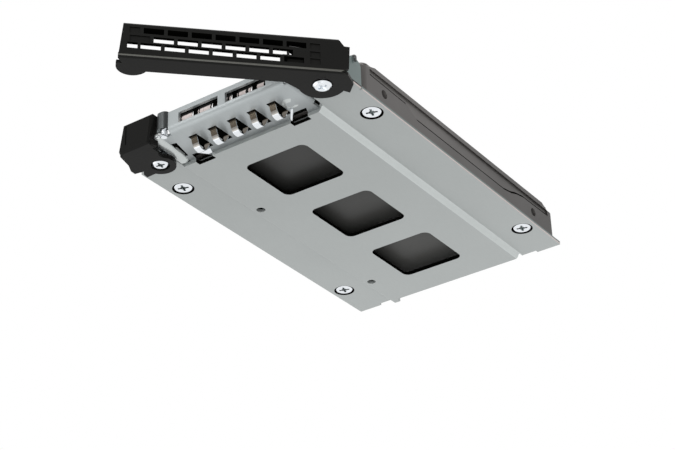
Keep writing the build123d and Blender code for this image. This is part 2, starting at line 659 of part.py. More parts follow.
def lower_flange():
    """The flange that carries the hook at the free end and the keeper tab of the spring's leg."""
    notch_v = HOOK_V - HOOK_NOTCH_DEPTH
    end = 1.3 * HANDLE_SHEET
    strip = flange_strip(end - 0.1, PIVOT_V, 0, HANDLE_SHEET)
    lip_v = notch_v - 0.2
    strip += prism([(0, 0), (end, 0), (end, lip_v), (end - 0.2, lip_v), (0, 1.1)], 0, HANDLE_SHEET)
    strip += prism([(FACE_LENGTH, 0), (CORNER_TAB_U - 0.4, CORNER_TAB_LOW), (EAR_END_U, PIVOT_V - 1.2),
                    (EAR_END_U - 0.2, PIVOT_V + 2.5), (PIVOT_U, PIVOT_V)], 0, HANDLE_SHEET)
    hook = rod(HOOK_U, HOOK_V, 0, HANDLE_SHEET, HOOK_RADIUS)
    hook &= block(-1, 2 * HOOK_U + 1, notch_v, HOOK_V + HOOK_RADIUS, 0, HANDLE_SHEET)
    front = HANDLE_SHEET + KEEPER_GAP
    keeper = block(KEEPER_U, KEEPER_U + KEEPER_WIDTH, front, front + KEEPER_THICKNESS, 0, KEEPER_HEIGHT)
    return strip + hook + keeper


def upper_flange():
    return flange_strip(FREE_END_SLANT, TOP_FLANGE_DEPTH, HANDLE_HEIGHT - HANDLE_SHEET, HANDLE_HEIGHT)


def handle_face():
    outline = [
        (0, 0), (FACE_LENGTH, 0), (CORNER_TAB_U - 0.4, CORNER_TAB_LOW), (CORNER_TAB_U, CORNER_TAB_HIGH),
        (CORNER_TAB_U - 1.4, CORNER_TAB_HIGH + 0.1), (FACE_LENGTH, HANDLE_HEIGHT),
        (FREE_END_SLANT, HANDLE_HEIGHT),
    ]
    face = Plane.XZ * make_face(Polyline(*outline, close=True))
    return Pos(0, HANDLE_SHEET, 0) * extrude(face, HANDLE_SHEET)


def face_slot(u, h, length, depth):
    """A slot through the face, or a blind mark when the depth is small; the rows fall slightly."""
    cut = Rot(0, math.degrees(math.atan(ROW_FALL)), 0) * Box(length, 2 * depth, SLOT_HEIGHT)
    middle = u + length / 2
    return Pos(middle, 0, h - ROW_FALL * middle) * cut


def slot_rows():
    rows = [
        (ROW_1_U, ROW_1_H, ROW_1_COUNT), (ROW_2_U, ROW_2_H, ROW_2_COUNT), (ROW_3_U, ROW_3_H, ROW_3_COUNT)
    ]
    through = 1.05 * HANDLE_SHEET
    cuts = [face_slot(SHORT_SLOT_U, ROW_3_H, SHORT_SLOT_LENGTH, through)]
    for u, h, count in rows:
        cuts += [face_slot(u + i * SLOT_PITCH, h, SLOT_LENGTH, through) for i in range(count)]
    blind_right_u = ROW_1_U + ROW_1_COUNT * SLOT_PITCH
    for h in (ROW_1_H, ROW_2_H, ROW_3_H):
        cuts.append(face_slot(blind_right_u, h, SHORT_SLOT_LENGTH, BLIND_DEPTH))
    gap = SLOT_PITCH - SLOT_LENGTH
    cuts.append(face_slot(ROW_1_U - gap - SHORT_SLOT_LENGTH, ROW_1_H, SHORT_SLOT_LENGTH, BLIND_DEPTH))
    cuts.append(face_slot(ROW_2_U - SLOT_PITCH, ROW_2_H, SLOT_LENGTH, BLIND_DEPTH))
    return cuts


def handle():
    body = handle_face() + lower_flange() + upper_flange()
    front_lines = body.edges().filter_by(Axis.X).filter_by(lambda e: abs(e.center().Y) < 0.01)
    folds = front_lines.filter_by(
        lambda e: e.center().Z < 0.01 or e.center().Z > HANDLE_HEIGHT - 0.01)
    body = fillet(folds, HANDLE_BEND)
    for cut in slot_rows():
        body -= cut
    body -= rod(PIVOT_U, PIVOT_V, -1, HANDLE_HEIGHT + 1, PIVOT_RADIUS + PIVOT_CLEARANCE)
    well = rod(PIVOT_U, PIVOT_V, -1, PIVOT_WELL_DEPTH, PIVOT_HEAD_RADIUS + HEAD_WELL_MARGIN)
    return place_handle(body - well)


# Handle pivot

def screw_head(x, y, top_z, radius, height):
    """A low chamfered head that hangs below top_z."""
    head = rod(x, y, top_z - height, top_z, radius)
    head = chamfer(head.edges().sort_by(Axis.Z)[0], 0.5 * height)
    return head - cross_recess(x, y, top_z - height, 1.15 * radius, 0.55 * height)


def handle_pivot_screw():
    head_top = HANDLE_BOTTOM_Z + PIVOT_WELL_DEPTH - PIVOT_END_PLAY
    groove_z = HANDLE_TOP_Z + PIVOT_END_PLAY
    post_top = groove_z + 2 * RING_THICKNESS
    post = rod(PIVOT_X, PIVOT_Y, head_top, post_top, PIVOT_RADIUS)
    groove = rod(PIVOT_X, PIVOT_Y, groove_z, groove_z + RING_THICKNESS, PIVOT_RADIUS + 1)
    groove -= rod(PIVOT_X, PIVOT_Y, groove_z - 1, groove_z + 1, RING_GROOVE_RADIUS)
    return post - groove + screw_head(PIVOT_X, PIVOT_Y, head_top, PIVOT_HEAD_RADIUS, PIVOT_HEAD_HEIGHT)


def spacer(x, y, flange_top, bore):
    """A collar that holds the turning ear clear of the plate."""
    low = flange_top + PIVOT_END_PLAY
    return rod(x, y, low, STRIP_Z, SPACER_RADIUS) - rod(x, y, low - 1, STRIP_Z + 1, bore)


def handle_spacer():
    return spacer(PIVOT_X, PIVOT_Y, HANDLE_BOTTOM_Z + HANDLE_SHEET, PIVOT_RADIUS)


def clinch_nut(x, y, seat_z, bore):
    """A nut pressed through the sheet, its flange on the top side."""
    top = seat_z + NUT_FLANGE_HEIGHT
    body = rod(x, y, STRIP_Z, seat_z, NUT_BARREL_RADIUS) + rod(x, y, seat_z, top, NUT_FLANGE_RADIUS)
    return body - rod(x, y, STRIP_Z - 1, top + 1, bore)


def handle_pivot_nut():
    return clinch_nut(PIVOT_X, PIVOT_Y, WING_TOP_Z, PIVOT_RADIUS)


def handle_retaining_ring():
    """A snap ring with a mouth, seated in the post's groove."""
    low = HANDLE_TOP_Z + PIVOT_END_PLAY
    ring = rod(PIVOT_X, PIVOT_Y, low, low + RING_THICKNESS, RING_RADIUS)
    ring -= rod(PIVOT_X, PIVOT_Y, low - 1, low + 1, RING_GROOVE_RADIUS)
    mouth = block(PIVOT_X, PIVOT_X + 2 * RING_RADIUS, PIVOT_Y - RING_MOUTH / 2, PIVOT_Y + RING_MOUTH / 2,
                  low - 1, low + 1)
    return ring - mouth


def handle_spring():
    """A torsion spring: its lower leg hooks over the side ear, the upper one lies behind the face."""
    body = Pos(PIVOT_X, PIVOT_Y, COIL_Z) * coil(COIL_TURNS, COIL_RADIUS, COIL_WIRE_RADIUS)
    low = COIL_Z + COIL_WIRE_RADIUS
    high = COIL_Z + COIL_WIRE_RADIUS * (2 * COIL_TURNS - 1)
    hook_y = DRIVE_FRONT_Y - EAR_HOOK_SETBACK
    over = STRIP_Z + SIDE_EAR_HEIGHT + COIL_WIRE_RADIUS + 0.15
    outside = PLATE_HALF + COIL_WIRE_RADIUS + 0.1
    fixed_leg = wire([
        (PIVOT_X + COIL_RADIUS, PIVOT_Y, low), (PIVOT_X + COIL_RADIUS, hook_y, low),
        (PIVOT_X + COIL_RADIUS, hook_y, over), (outside, hook_y, over),
        (outside, hook_y, over - EAR_HOOK_DROP),
    ], COIL_WIRE_RADIUS)
    leg_h = high - HANDLE_BOTTOM_Z
    leg_u = PIVOT_U - MOVING_LEG_LENGTH
    moving_leg = wire([
        (PIVOT_U, PIVOT_V - COIL_RADIUS, leg_h), (leg_u, MOVING_LEG_V, leg_h),
        (leg_u, MOVING_LEG_V, leg_h - MOVING_LEG_DROP),
    ], COIL_WIRE_RADIUS)
    return body + fixed_leg + place_handle(moving_leg)


# Latch

def latch_block():
    """The push block: its ends slant like the handle's free end, and it steps back beside the tray."""
    outline = [
        (LATCH_LEFT_X, LATCH_BOTTOM_Z + LATCH_CORNER),
        (LATCH_LEFT_X + 0.3 * LATCH_CORNER, LATCH_BOTTOM_Z + 0.3 * LATCH_CORNER),
        (LATCH_LEFT_X + LATCH_CORNER, LATCH_BOTTOM_Z),
        (LATCH_RIGHT_X, LATCH_BOTTOM_Z), (LATCH_RIGHT_X + FREE_END_SLANT, LATCH_TOP_Z),
        (LATCH_LEFT_X + LATCH_SLANT, LATCH_TOP_Z),
    ]
    face = Plane.XZ * make_face(Polyline(*outline, close=True))
    body = Pos(0, LATCH_BLOCK_REAR_Y, 0) * extrude(face, LATCH_BLOCK_REAR_Y - LATCH_FRONT_Y)
    body = chamfer(body.faces().sort_by(Axis.Y)[0].edges(), LATCH_FRONT_CHAMFER)
    body -= block(LATCH_INNER_RIGHT_X, LATCH_RIGHT_X + 2 * FREE_END_SLANT, LATCH_STEP_Y,
                  LATCH_BLOCK_REAR_Y + 1, LATCH_BOTTOM_Z - 1, LATCH_TOP_Z + 1)
    groove_x = LATCH_LEFT_X + LATCH_GROOVE_INSET
    return body - block(groove_x, groove_x + LATCH_GROOVE_WIDTH, LATCH_FRONT_Y - 1,
                        LATCH_FRONT_Y + LATCH_GROOVE_DEPTH, LATCH_BOTTOM_Z + 2.2, LATCH_TOP_Z - 1.0)


def latch_ear():
    """The thin plate under the base plate's arm, round about the screw, with a notch on either side."""
    top = LATCH_BOTTOM_Z + LATCH_EAR_THICKNESS
    left = LATCH_LEFT_X
    rear = LATCH_EAR_REAR_Y
    waist_x = LATCH_RIGHT_X - 1.6
    outline = [
        (left, LATCH_FRONT_Y + 1), (LATCH_RIGHT_X - 0.8, LATCH_FRONT_Y + 1),
        (LATCH_RIGHT_X - 0.8, LATCH_BLOCK_REAR_Y - 0.4), (waist_x, LATCH_BLOCK_REAR_Y + 0.6),
        (waist_x, LATCH_PIVOT_Y - 3.0), (LATCH_PIVOT_X + LATCH_EAR_RADIUS, LATCH_PIVOT_Y),
        (LATCH_PIVOT_X, LATCH_PIVOT_Y + LATCH_EAR_RADIUS - 2.0), (left - 1.1, rear), (left - 0.9, rear - 1.7),
        (left + 0.1, rear - 2.8), (left - 2.6, rear - 3.3), (left - 2.5, rear - 5.0), (left - 1.1, rear - 7.6),
    ]
    plate = prism(outline, LATCH_BOTTOM_Z, top)
    return plate + rod(LATCH_PIVOT_X, LATCH_PIVOT_Y, LATCH_BOTTOM_Z, top, LATCH_EAR_RADIUS)


def latch_tooth():
    """Reaches into the notch before the handle's hook."""
    return prism([
        (LATCH_RIGHT_X - 1, TOOTH_FRONT_Y), (LATCH_RIGHT_X, TOOTH_FRONT_Y),
        (LATCH_RIGHT_X + 0.3, TOOTH_FRONT_Y + 0.4), (LATCH_RIGHT_X + TOOTH_REACH, LATCH_STEP_Y),
        (LATCH_RIGHT_X - 1, LATCH_STEP_Y),
    ], LATCH_BOTTOM_Z + 0.1, TOOTH_TOP_Z)


def latch():
    body = latch_block() + latch_ear() + latch_tooth()
    body -= rod(LATCH_PIVOT_X, LATCH_PIVOT_Y, LATCH_BOTTOM_Z - 1, 1, LATCH_SCREW_RADIUS + LATCH_BORE_CLEARANCE)
    return body - rod(LATCH_PIVOT_X, LATCH_PIVOT_Y, LATCH_BOTTOM_Z - 1, LATCH_BOTTOM_Z + LATCH_WELL_DEPTH,
                      LATCH_HEAD_RADIUS + HEAD_WELL_MARGIN)


def latch_pivot_screw():
    head_top = LATCH_BOTTOM_Z + LATCH_WELL_DEPTH - PIVOT_END_PLAY
    tip = WING_TOP_Z + NUT_FLANGE_HEIGHT + 0.4
    shank = rod(LATCH_PIVOT_X, LATCH_PIVOT_Y, head_top, tip, LATCH_SCREW_RADIUS)
    head = screw_head(LATCH_PIVOT_X, LATCH_PIVOT_Y, head_top, LATCH_HEAD_RADIUS, LATCH_HEAD_HEIGHT)
    return shank + head


def latch_spacer():
    return spacer(LATCH_PIVOT_X, LATCH_PIVOT_Y, LATCH_BOTTOM_Z + LATCH_EAR_THICKNESS, LATCH_SCREW_RADIUS)


def latch_pivot_nut():
    return clinch_nut(LATCH_PIVOT_X, LATCH_PIVOT_Y, WING_TOP_Z, LATCH_SCREW_RADIUS)


def spring_post():
    """A headed pin that hangs from the roll's shelf and carries the latch spring."""
    coil_low = LATCH_SPRING_TOP_Z - 2 * LATCH_SPRING_WIRE * LATCH_SPRING_TURNS
    pin = rod(ROLL_X, SPRING_POST_Y, coil_low - 0.25, ROLL_BOTTOM_Z + BRACKET_SHEET, SPRING_POST_RADIUS)
    return pin + rod(ROLL_X, SPRING_POST_Y, coil_low - 0.25, coil_low, SPRING_POST_HEAD)


def latch_spring_leg(x0, x1, y, z):
    """A straight eight-sided leg along X."""
    return Pos(x0, y, z) * Rot(0, 90, 0) * extrude(RegularPolygon(LATCH_SPRING_WIRE, 8), x1 - x0)


def latch_spring():
    """A small torsion spring on the post: one leg bears on the latch, the other on the wall's end."""
    height = 2 * LATCH_SPRING_WIRE * LATCH_SPRING_TURNS
    low = LATCH_SPRING_TOP_Z - height
    body = Pos(ROLL_X, SPRING_POST_Y, low) * coil(LATCH_SPRING_TURNS, LATCH_SPRING_RADIUS, LATCH_SPRING_WIRE)
    latch_side = LATCH_RIGHT_X + FREE_END_SLANT / 2 + LATCH_SPRING_LEG_GAP
    leg_y = SPRING_POST_Y - LATCH_SPRING_RADIUS
    body += latch_spring_leg(latch_side, ROLL_X, leg_y, low + LATCH_SPRING_WIRE)
    wall_side = WALL_LEFT_X - LATCH_SPRING_LEG_GAP
    return body + latch_spring_leg(ROLL_X, wall_side, leg_y, LATCH_SPRING_TOP_Z - LATCH_SPRING_WIRE)


# Fasteners of the drive

def drive_screw(x, y):
    """A countersunk screw with a cross recess, driven from below."""
    low = STRIP_Z + HEAD_RECESS
    cone_height = SINK_DEPTH - HEAD_RECESS
    rim = M3_RADIUS - 0.05
    head = Pos(x, y, low + cone_height / 2) * Cone(SCREW_HEAD_RADIUS, rim, cone_height)
    shank = rod(x, y, low + cone_height - 0.1, low + SCREW_LENGTH, rim)
    return head + shank - cross_recess(x, y, low, 1.2 * SCREW_HEAD_RADIUS, SCREW_RECESS_DEPTH)


def drive_screws():
    return Compound(children=[drive_screw(x, y) for x, y in DRIVE_HOLES])


# Drive

def side_relief(side):
    """The shallow step in the drive's long side; its lower line dips between the screw holes."""
    low = DRIVE_Z + RELIEF_LOW
    high = DRIVE_Z + RELIEF_HIGH
    front = DRIVE_FRONT_Y + RELIEF_END
    rear = CASTING_REAR_Y - RELIEF_END
    dip = front + RELIEF_DIP_START
    rise = rear - RELIEF_RISE_END
    outline = [
        (front, high), (dip, high - 0.3), (dip + RELIEF_DIP_RUN, low), (rise - RELIEF_RISE_RUN, low),
        (rise - 7, low + 0.7), (rise - 4, low + 1.7), (rise, high - 0.2), (rear, high),
        (rear, CASTING_TOP_Z - 1), (front, CASTING_TOP_Z - 1),
    ]
    x = side * DRIVE_WIDTH / 2
    return side_prism(outline, min(x, x - side * RELIEF_DEPTH), max(x, x - side * RELIEF_DEPTH))


def drive_casting():
    half = DRIVE_WIDTH / 2
    body = block(-half, half, DRIVE_FRONT_Y, CASTING_REAR_Y, DRIVE_Z, CASTING_TOP_Z)
    body = fillet(body.edges().filter_by(Axis.Z), CASTING_CORNER)
    front_top = body.edges().filter_by(Axis.X).sort_by(Axis.Y)[0:2].sort_by(Axis.Z)[-1:]
    body = chamfer(front_top, 0.7 * CASTING_CORNER)
    pocket = half - BOARD_SIDE_INSET
    pocket_rear = CASTING_REAR_Y - PLUG_DEPTH
    pocket_top = DRIVE_Z + BOARD_POCKET_DEPTH
    body -= block(-pocket, pocket, DRIVE_FRONT_Y + BOARD_FRONT_INSET, pocket_rear, DRIVE_Z - 1, pocket_top)
    plug_left = PLUG_CENTRE_X - PLUG_WIDTH / 2
    plug_right = PLUG_CENTRE_X + PLUG_WIDTH / 2
    body -= block(plug_left, plug_right, pocket_rear - 0.01, CONNECTOR_Y, DRIVE_Z - 1,
                  DRIVE_Z + PLUG_LIFT + PLUG_HEIGHT)
    for side in (-1, 1):
        body -= side_relief(side)
        for y in (FRONT_HOLE_Y, REAR_HOLE_Y):
            hole = Rot(0, 90, 0) * Cylinder(M3_TAP_RADIUS, 2 * SIDE_HOLE_DEPTH)
            body -= Pos(side * half, y, DRIVE_Z + SIDE_HOLE_HEIGHT) * hole
    for x, y in DRIVE_HOLES:
        body -= rod(x, y, DRIVE_Z - 1, DRIVE_Z + BOTTOM_HOLE_DEPTH, M3_RADIUS)
    board_top = DRIVE_Z + BOARD_LIFT + BOARD_THICKNESS
    pad = BOARD_PAD / 2
    for x, y in board_screw_places():
        body += block(x - pad, x + pad, y - pad, y + pad, board_top, pocket_top)
        body -= stud(x, y, board_top - 1, pocket_top + 2, SMALL_SCREW_RADIUS + 0.02)
    for x, y in cover_screw_places():
        body -= stud(x, y, CASTING_TOP_Z - 2.5, CASTING_TOP_Z + 1, SMALL_SCREW_RADIUS + 0.02)
    return body


def cover_screw_places():
    """Along the cover's rim: at both ends and midway."""
    x = DRIVE_WIDTH / 2 - COVER_SCREW_INSET
    front = DRIVE_FRONT_Y + COVER_SCREW_INSET
    rear = CASTING_REAR_Y - COVER_SCREW_INSET
    return [(side * x, y) for y in (front, (front + rear) / 2, rear) for side in (-1, 1)]


def drive_cover():
    """A pressed lid with a raised disc area and a shallow rim."""
    half = DRIVE_WIDTH / 2 - COVER_EDGE_GAP
    rim_top = CASTING_TOP_Z + COVER_RIM_HEIGHT
    high = CASTING_TOP_Z + COVER_RISE
    rim = block(-half, half, DRIVE_FRONT_Y + COVER_FRONT_GAP, CASTING_REAR_Y - COVER_REAR_GAP,
                CASTING_TOP_Z, rim_top)
    rim = fillet(rim.edges().filter_by(Axis.Z), CASTING_CORNER)
    disc_radius = half - 2 * COVER_SCREW_INSET
    disc_y = DRIVE_FRONT_Y + COVER_DISC_FRONT + disc_radius
    disc = rod(0, disc_y, CASTING_TOP_Z, high, disc_radius)
    tail = block(-disc_radius, disc_radius * 0.6, disc_y, CASTING_REAR_Y - COVER_TAIL_REAR,
                 CASTING_TOP_Z, high)
    body = rim + disc + tail
    for x, y in cover_screw_places():
        body -= stud(x, y, CASTING_TOP_Z - 1, high, SMALL_SCREW_RADIUS + 0.02)
    return body


def drive_cover_screws():
    seat = CASTING_TOP_Z + COVER_RIM_HEIGHT
    screws = []
    for x, y in cover_screw_places():
        head = rod(x, y, seat, seat + SMALL_HEAD_HEIGHT, SMALL_HEAD_RADIUS)
        head -= Pos(x, y, seat + SMALL_HEAD_HEIGHT / 3) * extrude(RegularPolygon(0.7, 6), 1)
        screws.append(head + stud(x, y, CASTING_TOP_Z - 2.2, seat + 0.1, SMALL_SCREW_RADIUS))
    return Compound(children=screws)


def board_outline(margin, z0, z1):
    half = DRIVE_WIDTH / 2 - BOARD_SIDE_INSET - margin
    front = DRIVE_FRONT_Y + BOARD_FRONT_INSET + margin
    rear = CASTING_REAR_Y - PLUG_DEPTH - margin
    plate = block(-half, half, front, rear, z0, z1)
    plate = chamfer(plate.edges().filter_by(Axis.Z), 1.0)
    for x, y in board_screw_places():
        plate -= stud(x, y, z0 - 1, z1 + 1, SMALL_SCREW_RADIUS + 0.1)
    return plate


def board_screw_places():
    x = DRIVE_WIDTH / 2 - BOARD_SIDE_INSET - BOARD_SCREW_INSET
    front = DRIVE_FRONT_Y + BOARD_SCREW_FRONT
    rear = CASTING_REAR_Y - PLUG_DEPTH - BOARD_SCREW_REAR
    return [(side * x, y) for y in (front, rear) for side in (-1, 1)]


def drive_circuit_board():
    low = DRIVE_Z + BOARD_LIFT
    return board_outline(0.4, low, low + BOARD_THICKNESS)


def drive_insulator():
    high = DRIVE_Z + BOARD_LIFT
    return board_outline(0.6, high - INSULATOR_THICKNESS, high)


def drive_board_screws():
    """Screws through the insulator and the board into the casting's pads."""
    seat = DRIVE_Z + BOARD_LIFT - INSULATOR_THICKNESS
    screws = []
    for x, y in board_screw_places():
        head = stud(x, y, seat - SMALL_HEAD_HEIGHT, seat, SMALL_HEAD_RADIUS)
        screws.append(head + stud(x, y, seat - 0.1, DRIVE_Z + BOARD_POCKET_DEPTH + 1.4, SMALL_SCREW_RADIUS))
    return Compound(children=screws)


def blade_spans():
    """The two contact blades: data and power, as (left, right) in X."""
    total = DATA_BLADE_WIDTH + BLADE_GAP + POWER_BLADE_WIDTH
    left = PLUG_CENTRE_X - total / 2
    data = (left, left + DATA_BLADE_WIDTH)
    power = (data[1] + BLADE_GAP, data[1] + BLADE_GAP + POWER_BLADE_WIDTH)
    return data, power


def blade_low_z():
    return DRIVE_Z + PLUG_LIFT + PLUG_HEIGHT / 2 - BLADE_THICKNESS / 2


def drive_connector():
    left = PLUG_CENTRE_X - PLUG_WIDTH / 2
    right = PLUG_CENTRE_X + PLUG_WIDTH / 2
    low = DRIVE_Z + PLUG_LIFT
    high = low + PLUG_HEIGHT
    front = CASTING_REAR_Y - PLUG_DEPTH
    body = block(left, right, front, CONNECTOR_Y, low, high)
    body -= block(left + PLUG_WALL, right - PLUG_WALL, CONNECTOR_Y - PLUG_CAVITY_DEPTH, CONNECTOR_Y + 1,
                  low + PLUG_WALL, high - PLUG_WALL)
    blade_z = blade_low_z()
    blade_front = CONNECTOR_Y - PLUG_CAVITY_DEPTH - 0.5
    blade_rear = CONNECTOR_Y - BLADE_SETBACK
    for blade_left, blade_right in blade_spans():
        body += block(blade_left, blade_right, blade_front, blade_rear, blade_z, blade_z + BLADE_THICKNESS)
        body += block(blade_left, blade_left + BLADE_THICKNESS, blade_front, blade_rear, blade_z - 1, blade_z)
    return body


def drive_contacts():
    """Flat contacts on the blades' upper faces."""
    z = blade_low_z() + BLADE_THICKNESS
    strips = []
    for (left, right), count in zip(blade_spans(), (DATA_CONTACTS, POWER_CONTACTS)):
        first = (left + right) / 2 - (count - 1) / 2 * CONTACT_PITCH
        for i in range(count):
            x = first + i * CONTACT_PITCH
            strips.append(block(x - CONTACT_WIDTH / 2, x + CONTACT_WIDTH / 2, CONNECTOR_Y - PLUG_CAVITY_DEPTH,
                                CONNECTOR_Y - CONTACT_SETBACK, z, z + CONTACT_THICKNESS))
    return Compound(children=strips)


NODES = {
    "base_plate": base_plate,
    "front_bracket": front_bracket,
    "floor_springs": floor_springs,
    "face_springs": face_springs,
    "handle": handle,
    "handle_pivot_screw": handle_pivot_screw,
    "handle_spacer": handle_spacer,
    "handle_pivot_nut": handle_pivot_nut,
    "handle_retaining_ring": handle_retaining_ring,
    "handle_spring": handle_spring,
    "latch": latch,
    "latch_pivot_screw": latch_pivot_screw,
    "latch_spacer": latch_spacer,
    "latch_pivot_nut": latch_pivot_nut,
    "latch_spring": latch_spring,
    "spring_post": spring_post,
    "drive_screws": drive_screws,
    "drive_casting": drive_casting,
    "drive_cover": drive_cover,
    "drive_cover_screws": drive_cover_screws,
    "drive_circuit_board": drive_circuit_board,
    "drive_insulator": drive_insulator,
    "drive_board_screws": drive_board_screws,
    "drive_connector": drive_connector,
    "drive_contacts": drive_contacts,
}

os.makedirs("parts", exist_ok=True)
for name, make in NODES.items():
    export_step(make(), f"parts/{name}.step")
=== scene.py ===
import bpy
import bmesh
import math
from mathutils import Matrix, Vector

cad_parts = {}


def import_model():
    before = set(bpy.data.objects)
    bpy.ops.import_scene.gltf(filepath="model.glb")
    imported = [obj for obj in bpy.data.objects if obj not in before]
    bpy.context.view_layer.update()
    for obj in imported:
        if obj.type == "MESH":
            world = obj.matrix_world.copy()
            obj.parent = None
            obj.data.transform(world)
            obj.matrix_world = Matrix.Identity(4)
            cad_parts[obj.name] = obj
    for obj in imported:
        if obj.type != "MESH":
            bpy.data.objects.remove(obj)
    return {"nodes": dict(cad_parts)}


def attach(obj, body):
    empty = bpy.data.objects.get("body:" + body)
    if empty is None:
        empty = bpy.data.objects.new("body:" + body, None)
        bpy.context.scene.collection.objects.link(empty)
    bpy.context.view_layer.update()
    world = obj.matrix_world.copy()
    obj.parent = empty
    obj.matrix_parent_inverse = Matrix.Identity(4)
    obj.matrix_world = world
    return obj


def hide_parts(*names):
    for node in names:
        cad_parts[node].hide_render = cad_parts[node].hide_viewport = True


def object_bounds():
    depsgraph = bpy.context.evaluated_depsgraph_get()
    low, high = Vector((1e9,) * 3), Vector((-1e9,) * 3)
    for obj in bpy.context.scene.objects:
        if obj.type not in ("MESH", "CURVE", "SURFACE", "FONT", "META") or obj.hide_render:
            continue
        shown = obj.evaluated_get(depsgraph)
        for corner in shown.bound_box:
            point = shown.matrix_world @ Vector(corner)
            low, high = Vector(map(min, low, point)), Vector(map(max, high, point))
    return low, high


# A slide-in drive tray with its drive, seen from below and from the front right, as in the photograph.
# Everything is in metres, in the model's own frame. MM turns a workshop millimetre into a metre.

MM = 0.001

# Camera, worked out from the drive's six standard screw holes
AIM = Vector((0.0, 0.017, 0.0025))
AZIMUTH = math.radians(33.981)
ELEVATION = math.radians(-29.309)
ROLL = math.radians(-1.998)
DISTANCE = 0.508944
SIDE_STEP = (0.006682, 0.004371)
LENS_MM = 97.19
SENSOR_MM = 36.0

# Places repeated from the CAD, in millimetres; PIVOT_UV is the handle's pivot in the handle's own u and v
HANDLE_PIVOT = (30.5, -45.0)
LATCH_PIVOT = (-24.9, -40.3)
OPEN_ANGLE = math.radians(45.1)
PIVOT_UV = (50.4, 6.1)
HANDLE_BOTTOM = -1.1
DRIVE_SCREWS = [(-30.86, -23.6), (30.86, -23.6), (-30.86, 53.0), (30.86, 53.0)]
SPRING_POST = (-17.0, -48.4)
WALL_BACK = -48.0

# Colours, as written for the shaders (linear light)
ZINC = (0.42, 0.445, 0.44)
BRACKET_ZINC = (0.42, 0.452, 0.458)
STAINLESS = (0.20, 0.17, 0.13)
BLACK_PAINT = (0.0105, 0.0105, 0.0098)
BLACK_PLASTIC = (0.0085, 0.0085, 0.0080)
# The next four are painted light: deep painted shade, the handle fold's painted highlight, a cut edge that is
# partly burnished metal and partly painted highlight, and the side ear's painted shade
SHADOW_BLACK = (0.0022, 0.0022, 0.0018)
FOLD_SHINE = (0.085, 0.085, 0.075)
SHEARED_EDGE_AND_HIGHLIGHT = (0.66, 0.58, 0.56)
EAR_PAINTED_SHADE = (0.16, 0.205, 0.20)
BRIGHT_PLATING = (0.80, 0.83, 0.86)
DARK_WIRE = (0.16, 0.16, 0.16)
CAST_GREY = (0.100, 0.094, 0.090)
COVER_GREY = (0.16, 0.15, 0.145)
BOARD_GREEN = (0.02, 0.09, 0.05)
FILM_GREY = (0.040, 0.040, 0.038)
GOLD = (0.80, 0.55, 0.20)
# The next three are painted light: painted shade for the screw recesses, and painted reflections for the
# fingers and the spring tongues
RECESS_PAINTED_SHADE = (0.22, 0.25, 0.25)
PALE_PAINTED_REFLECTION = (0.46, 0.44, 0.41)
TONGUE_SHINE = (0.62, 0.55, 0.53)

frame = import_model()
cad_low, cad_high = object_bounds()
nodes = frame["nodes"]
scene = bpy.context.scene


# Shader groups

def new_group(name, inputs, outputs):
    """An empty shader group with its sockets: inputs as (name, default), outputs as names, all values."""
    group = bpy.data.node_groups.new(name, "ShaderNodeTree")
    for label, default in inputs:
        socket = group.interface.new_socket(label, in_out="INPUT", socket_type="NodeSocketFloat")
        socket.default_value = default
    for label in outputs:
        group.interface.new_socket(label, in_out="OUTPUT", socket_type="NodeSocketFloat")
    return group, group.nodes.new("NodeGroupInput"), group.nodes.new("NodeGroupOutput")


def feed(tree, socket, value):
    """Puts a number or another socket's value into a socket."""
    if isinstance(value, (int, float)):
        socket.default_value = value
    else:
        tree.links.new(value, socket)


def maths(tree, operation, first, second=0.0, clamp=False):
    """One sum in a shader or a geometry tree, from numbers or sockets."""
    node = tree.nodes.new("ShaderNodeMath")
    node.operation = operation
    node.use_clamp = clamp
    feed(tree, node.inputs[0], first)
    feed(tree, node.inputs[1], second)
    return node.outputs[0]


def noise(tree, vector, scale, detail, roughness):
    node = tree.nodes.new("ShaderNodeTexNoise")
    tree.links.new(vector, node.inputs["Vector"])
    feed(tree, node.inputs["Scale"], scale)
    feed(tree, node.inputs["Detail"], detail)
    feed(tree, node.inputs["Roughness"], roughness)
    return node.outputs["Fac"]


def object_place(tree):
    return tree.nodes.new("ShaderNodeTexCoord").outputs["Object"]


def ranged(tree, value, start, end, first, last, smooth=False):
    """Turns a value between start and end into one between first and last, each a number or a socket."""
    node = tree.nodes.new("ShaderNodeMapRange")
    if smooth:
        node.interpolation_type = "SMOOTHSTEP"
    for label, given in (
            ("Value", value), ("From Min", start), ("From Max", end), ("To Min", first), ("To Max", last)):
        feed(tree, node.inputs[label], given)
    return node.outputs["Result"]


def grain_group():
    """Fine rolling grain drawn out along one axis, with a broad cloudiness under it."""
    settings = [("Fine", 2600.0), ("Draw", 0.2), ("Broad", 45.0), ("Amount", 0.3)]
    group, given, result = new_group("rolled_grain", settings, ["Tone", "Height"])
    place = object_place(group)
    stretch = group.nodes.new("ShaderNodeCombineXYZ")
    stretch.inputs[0].default_value = 1.0
    stretch.inputs[2].default_value = 1.0
    group.links.new(given.outputs["Draw"], stretch.inputs[1])
    drawn = group.nodes.new("ShaderNodeVectorMath")
    drawn.operation = "MULTIPLY"
    group.links.new(place, drawn.inputs[0])
    group.links.new(stretch.outputs[0], drawn.inputs[1])
    fine = noise(group, drawn.outputs[0], given.outputs["Fine"], 3.0, 0.6)
    broad = noise(group, place, given.outputs["Broad"], 4.0, 0.55)
    both = maths(group, "SUBTRACT", maths(group, "ADD", fine, broad), 1.0)
    shade = maths(group, "ADD", maths(group, "MULTIPLY", both, given.outputs["Amount"]), 0.5, clamp=True)
    group.links.new(shade, result.inputs["Tone"])
    group.links.new(fine, result.inputs["Height"])
    return group


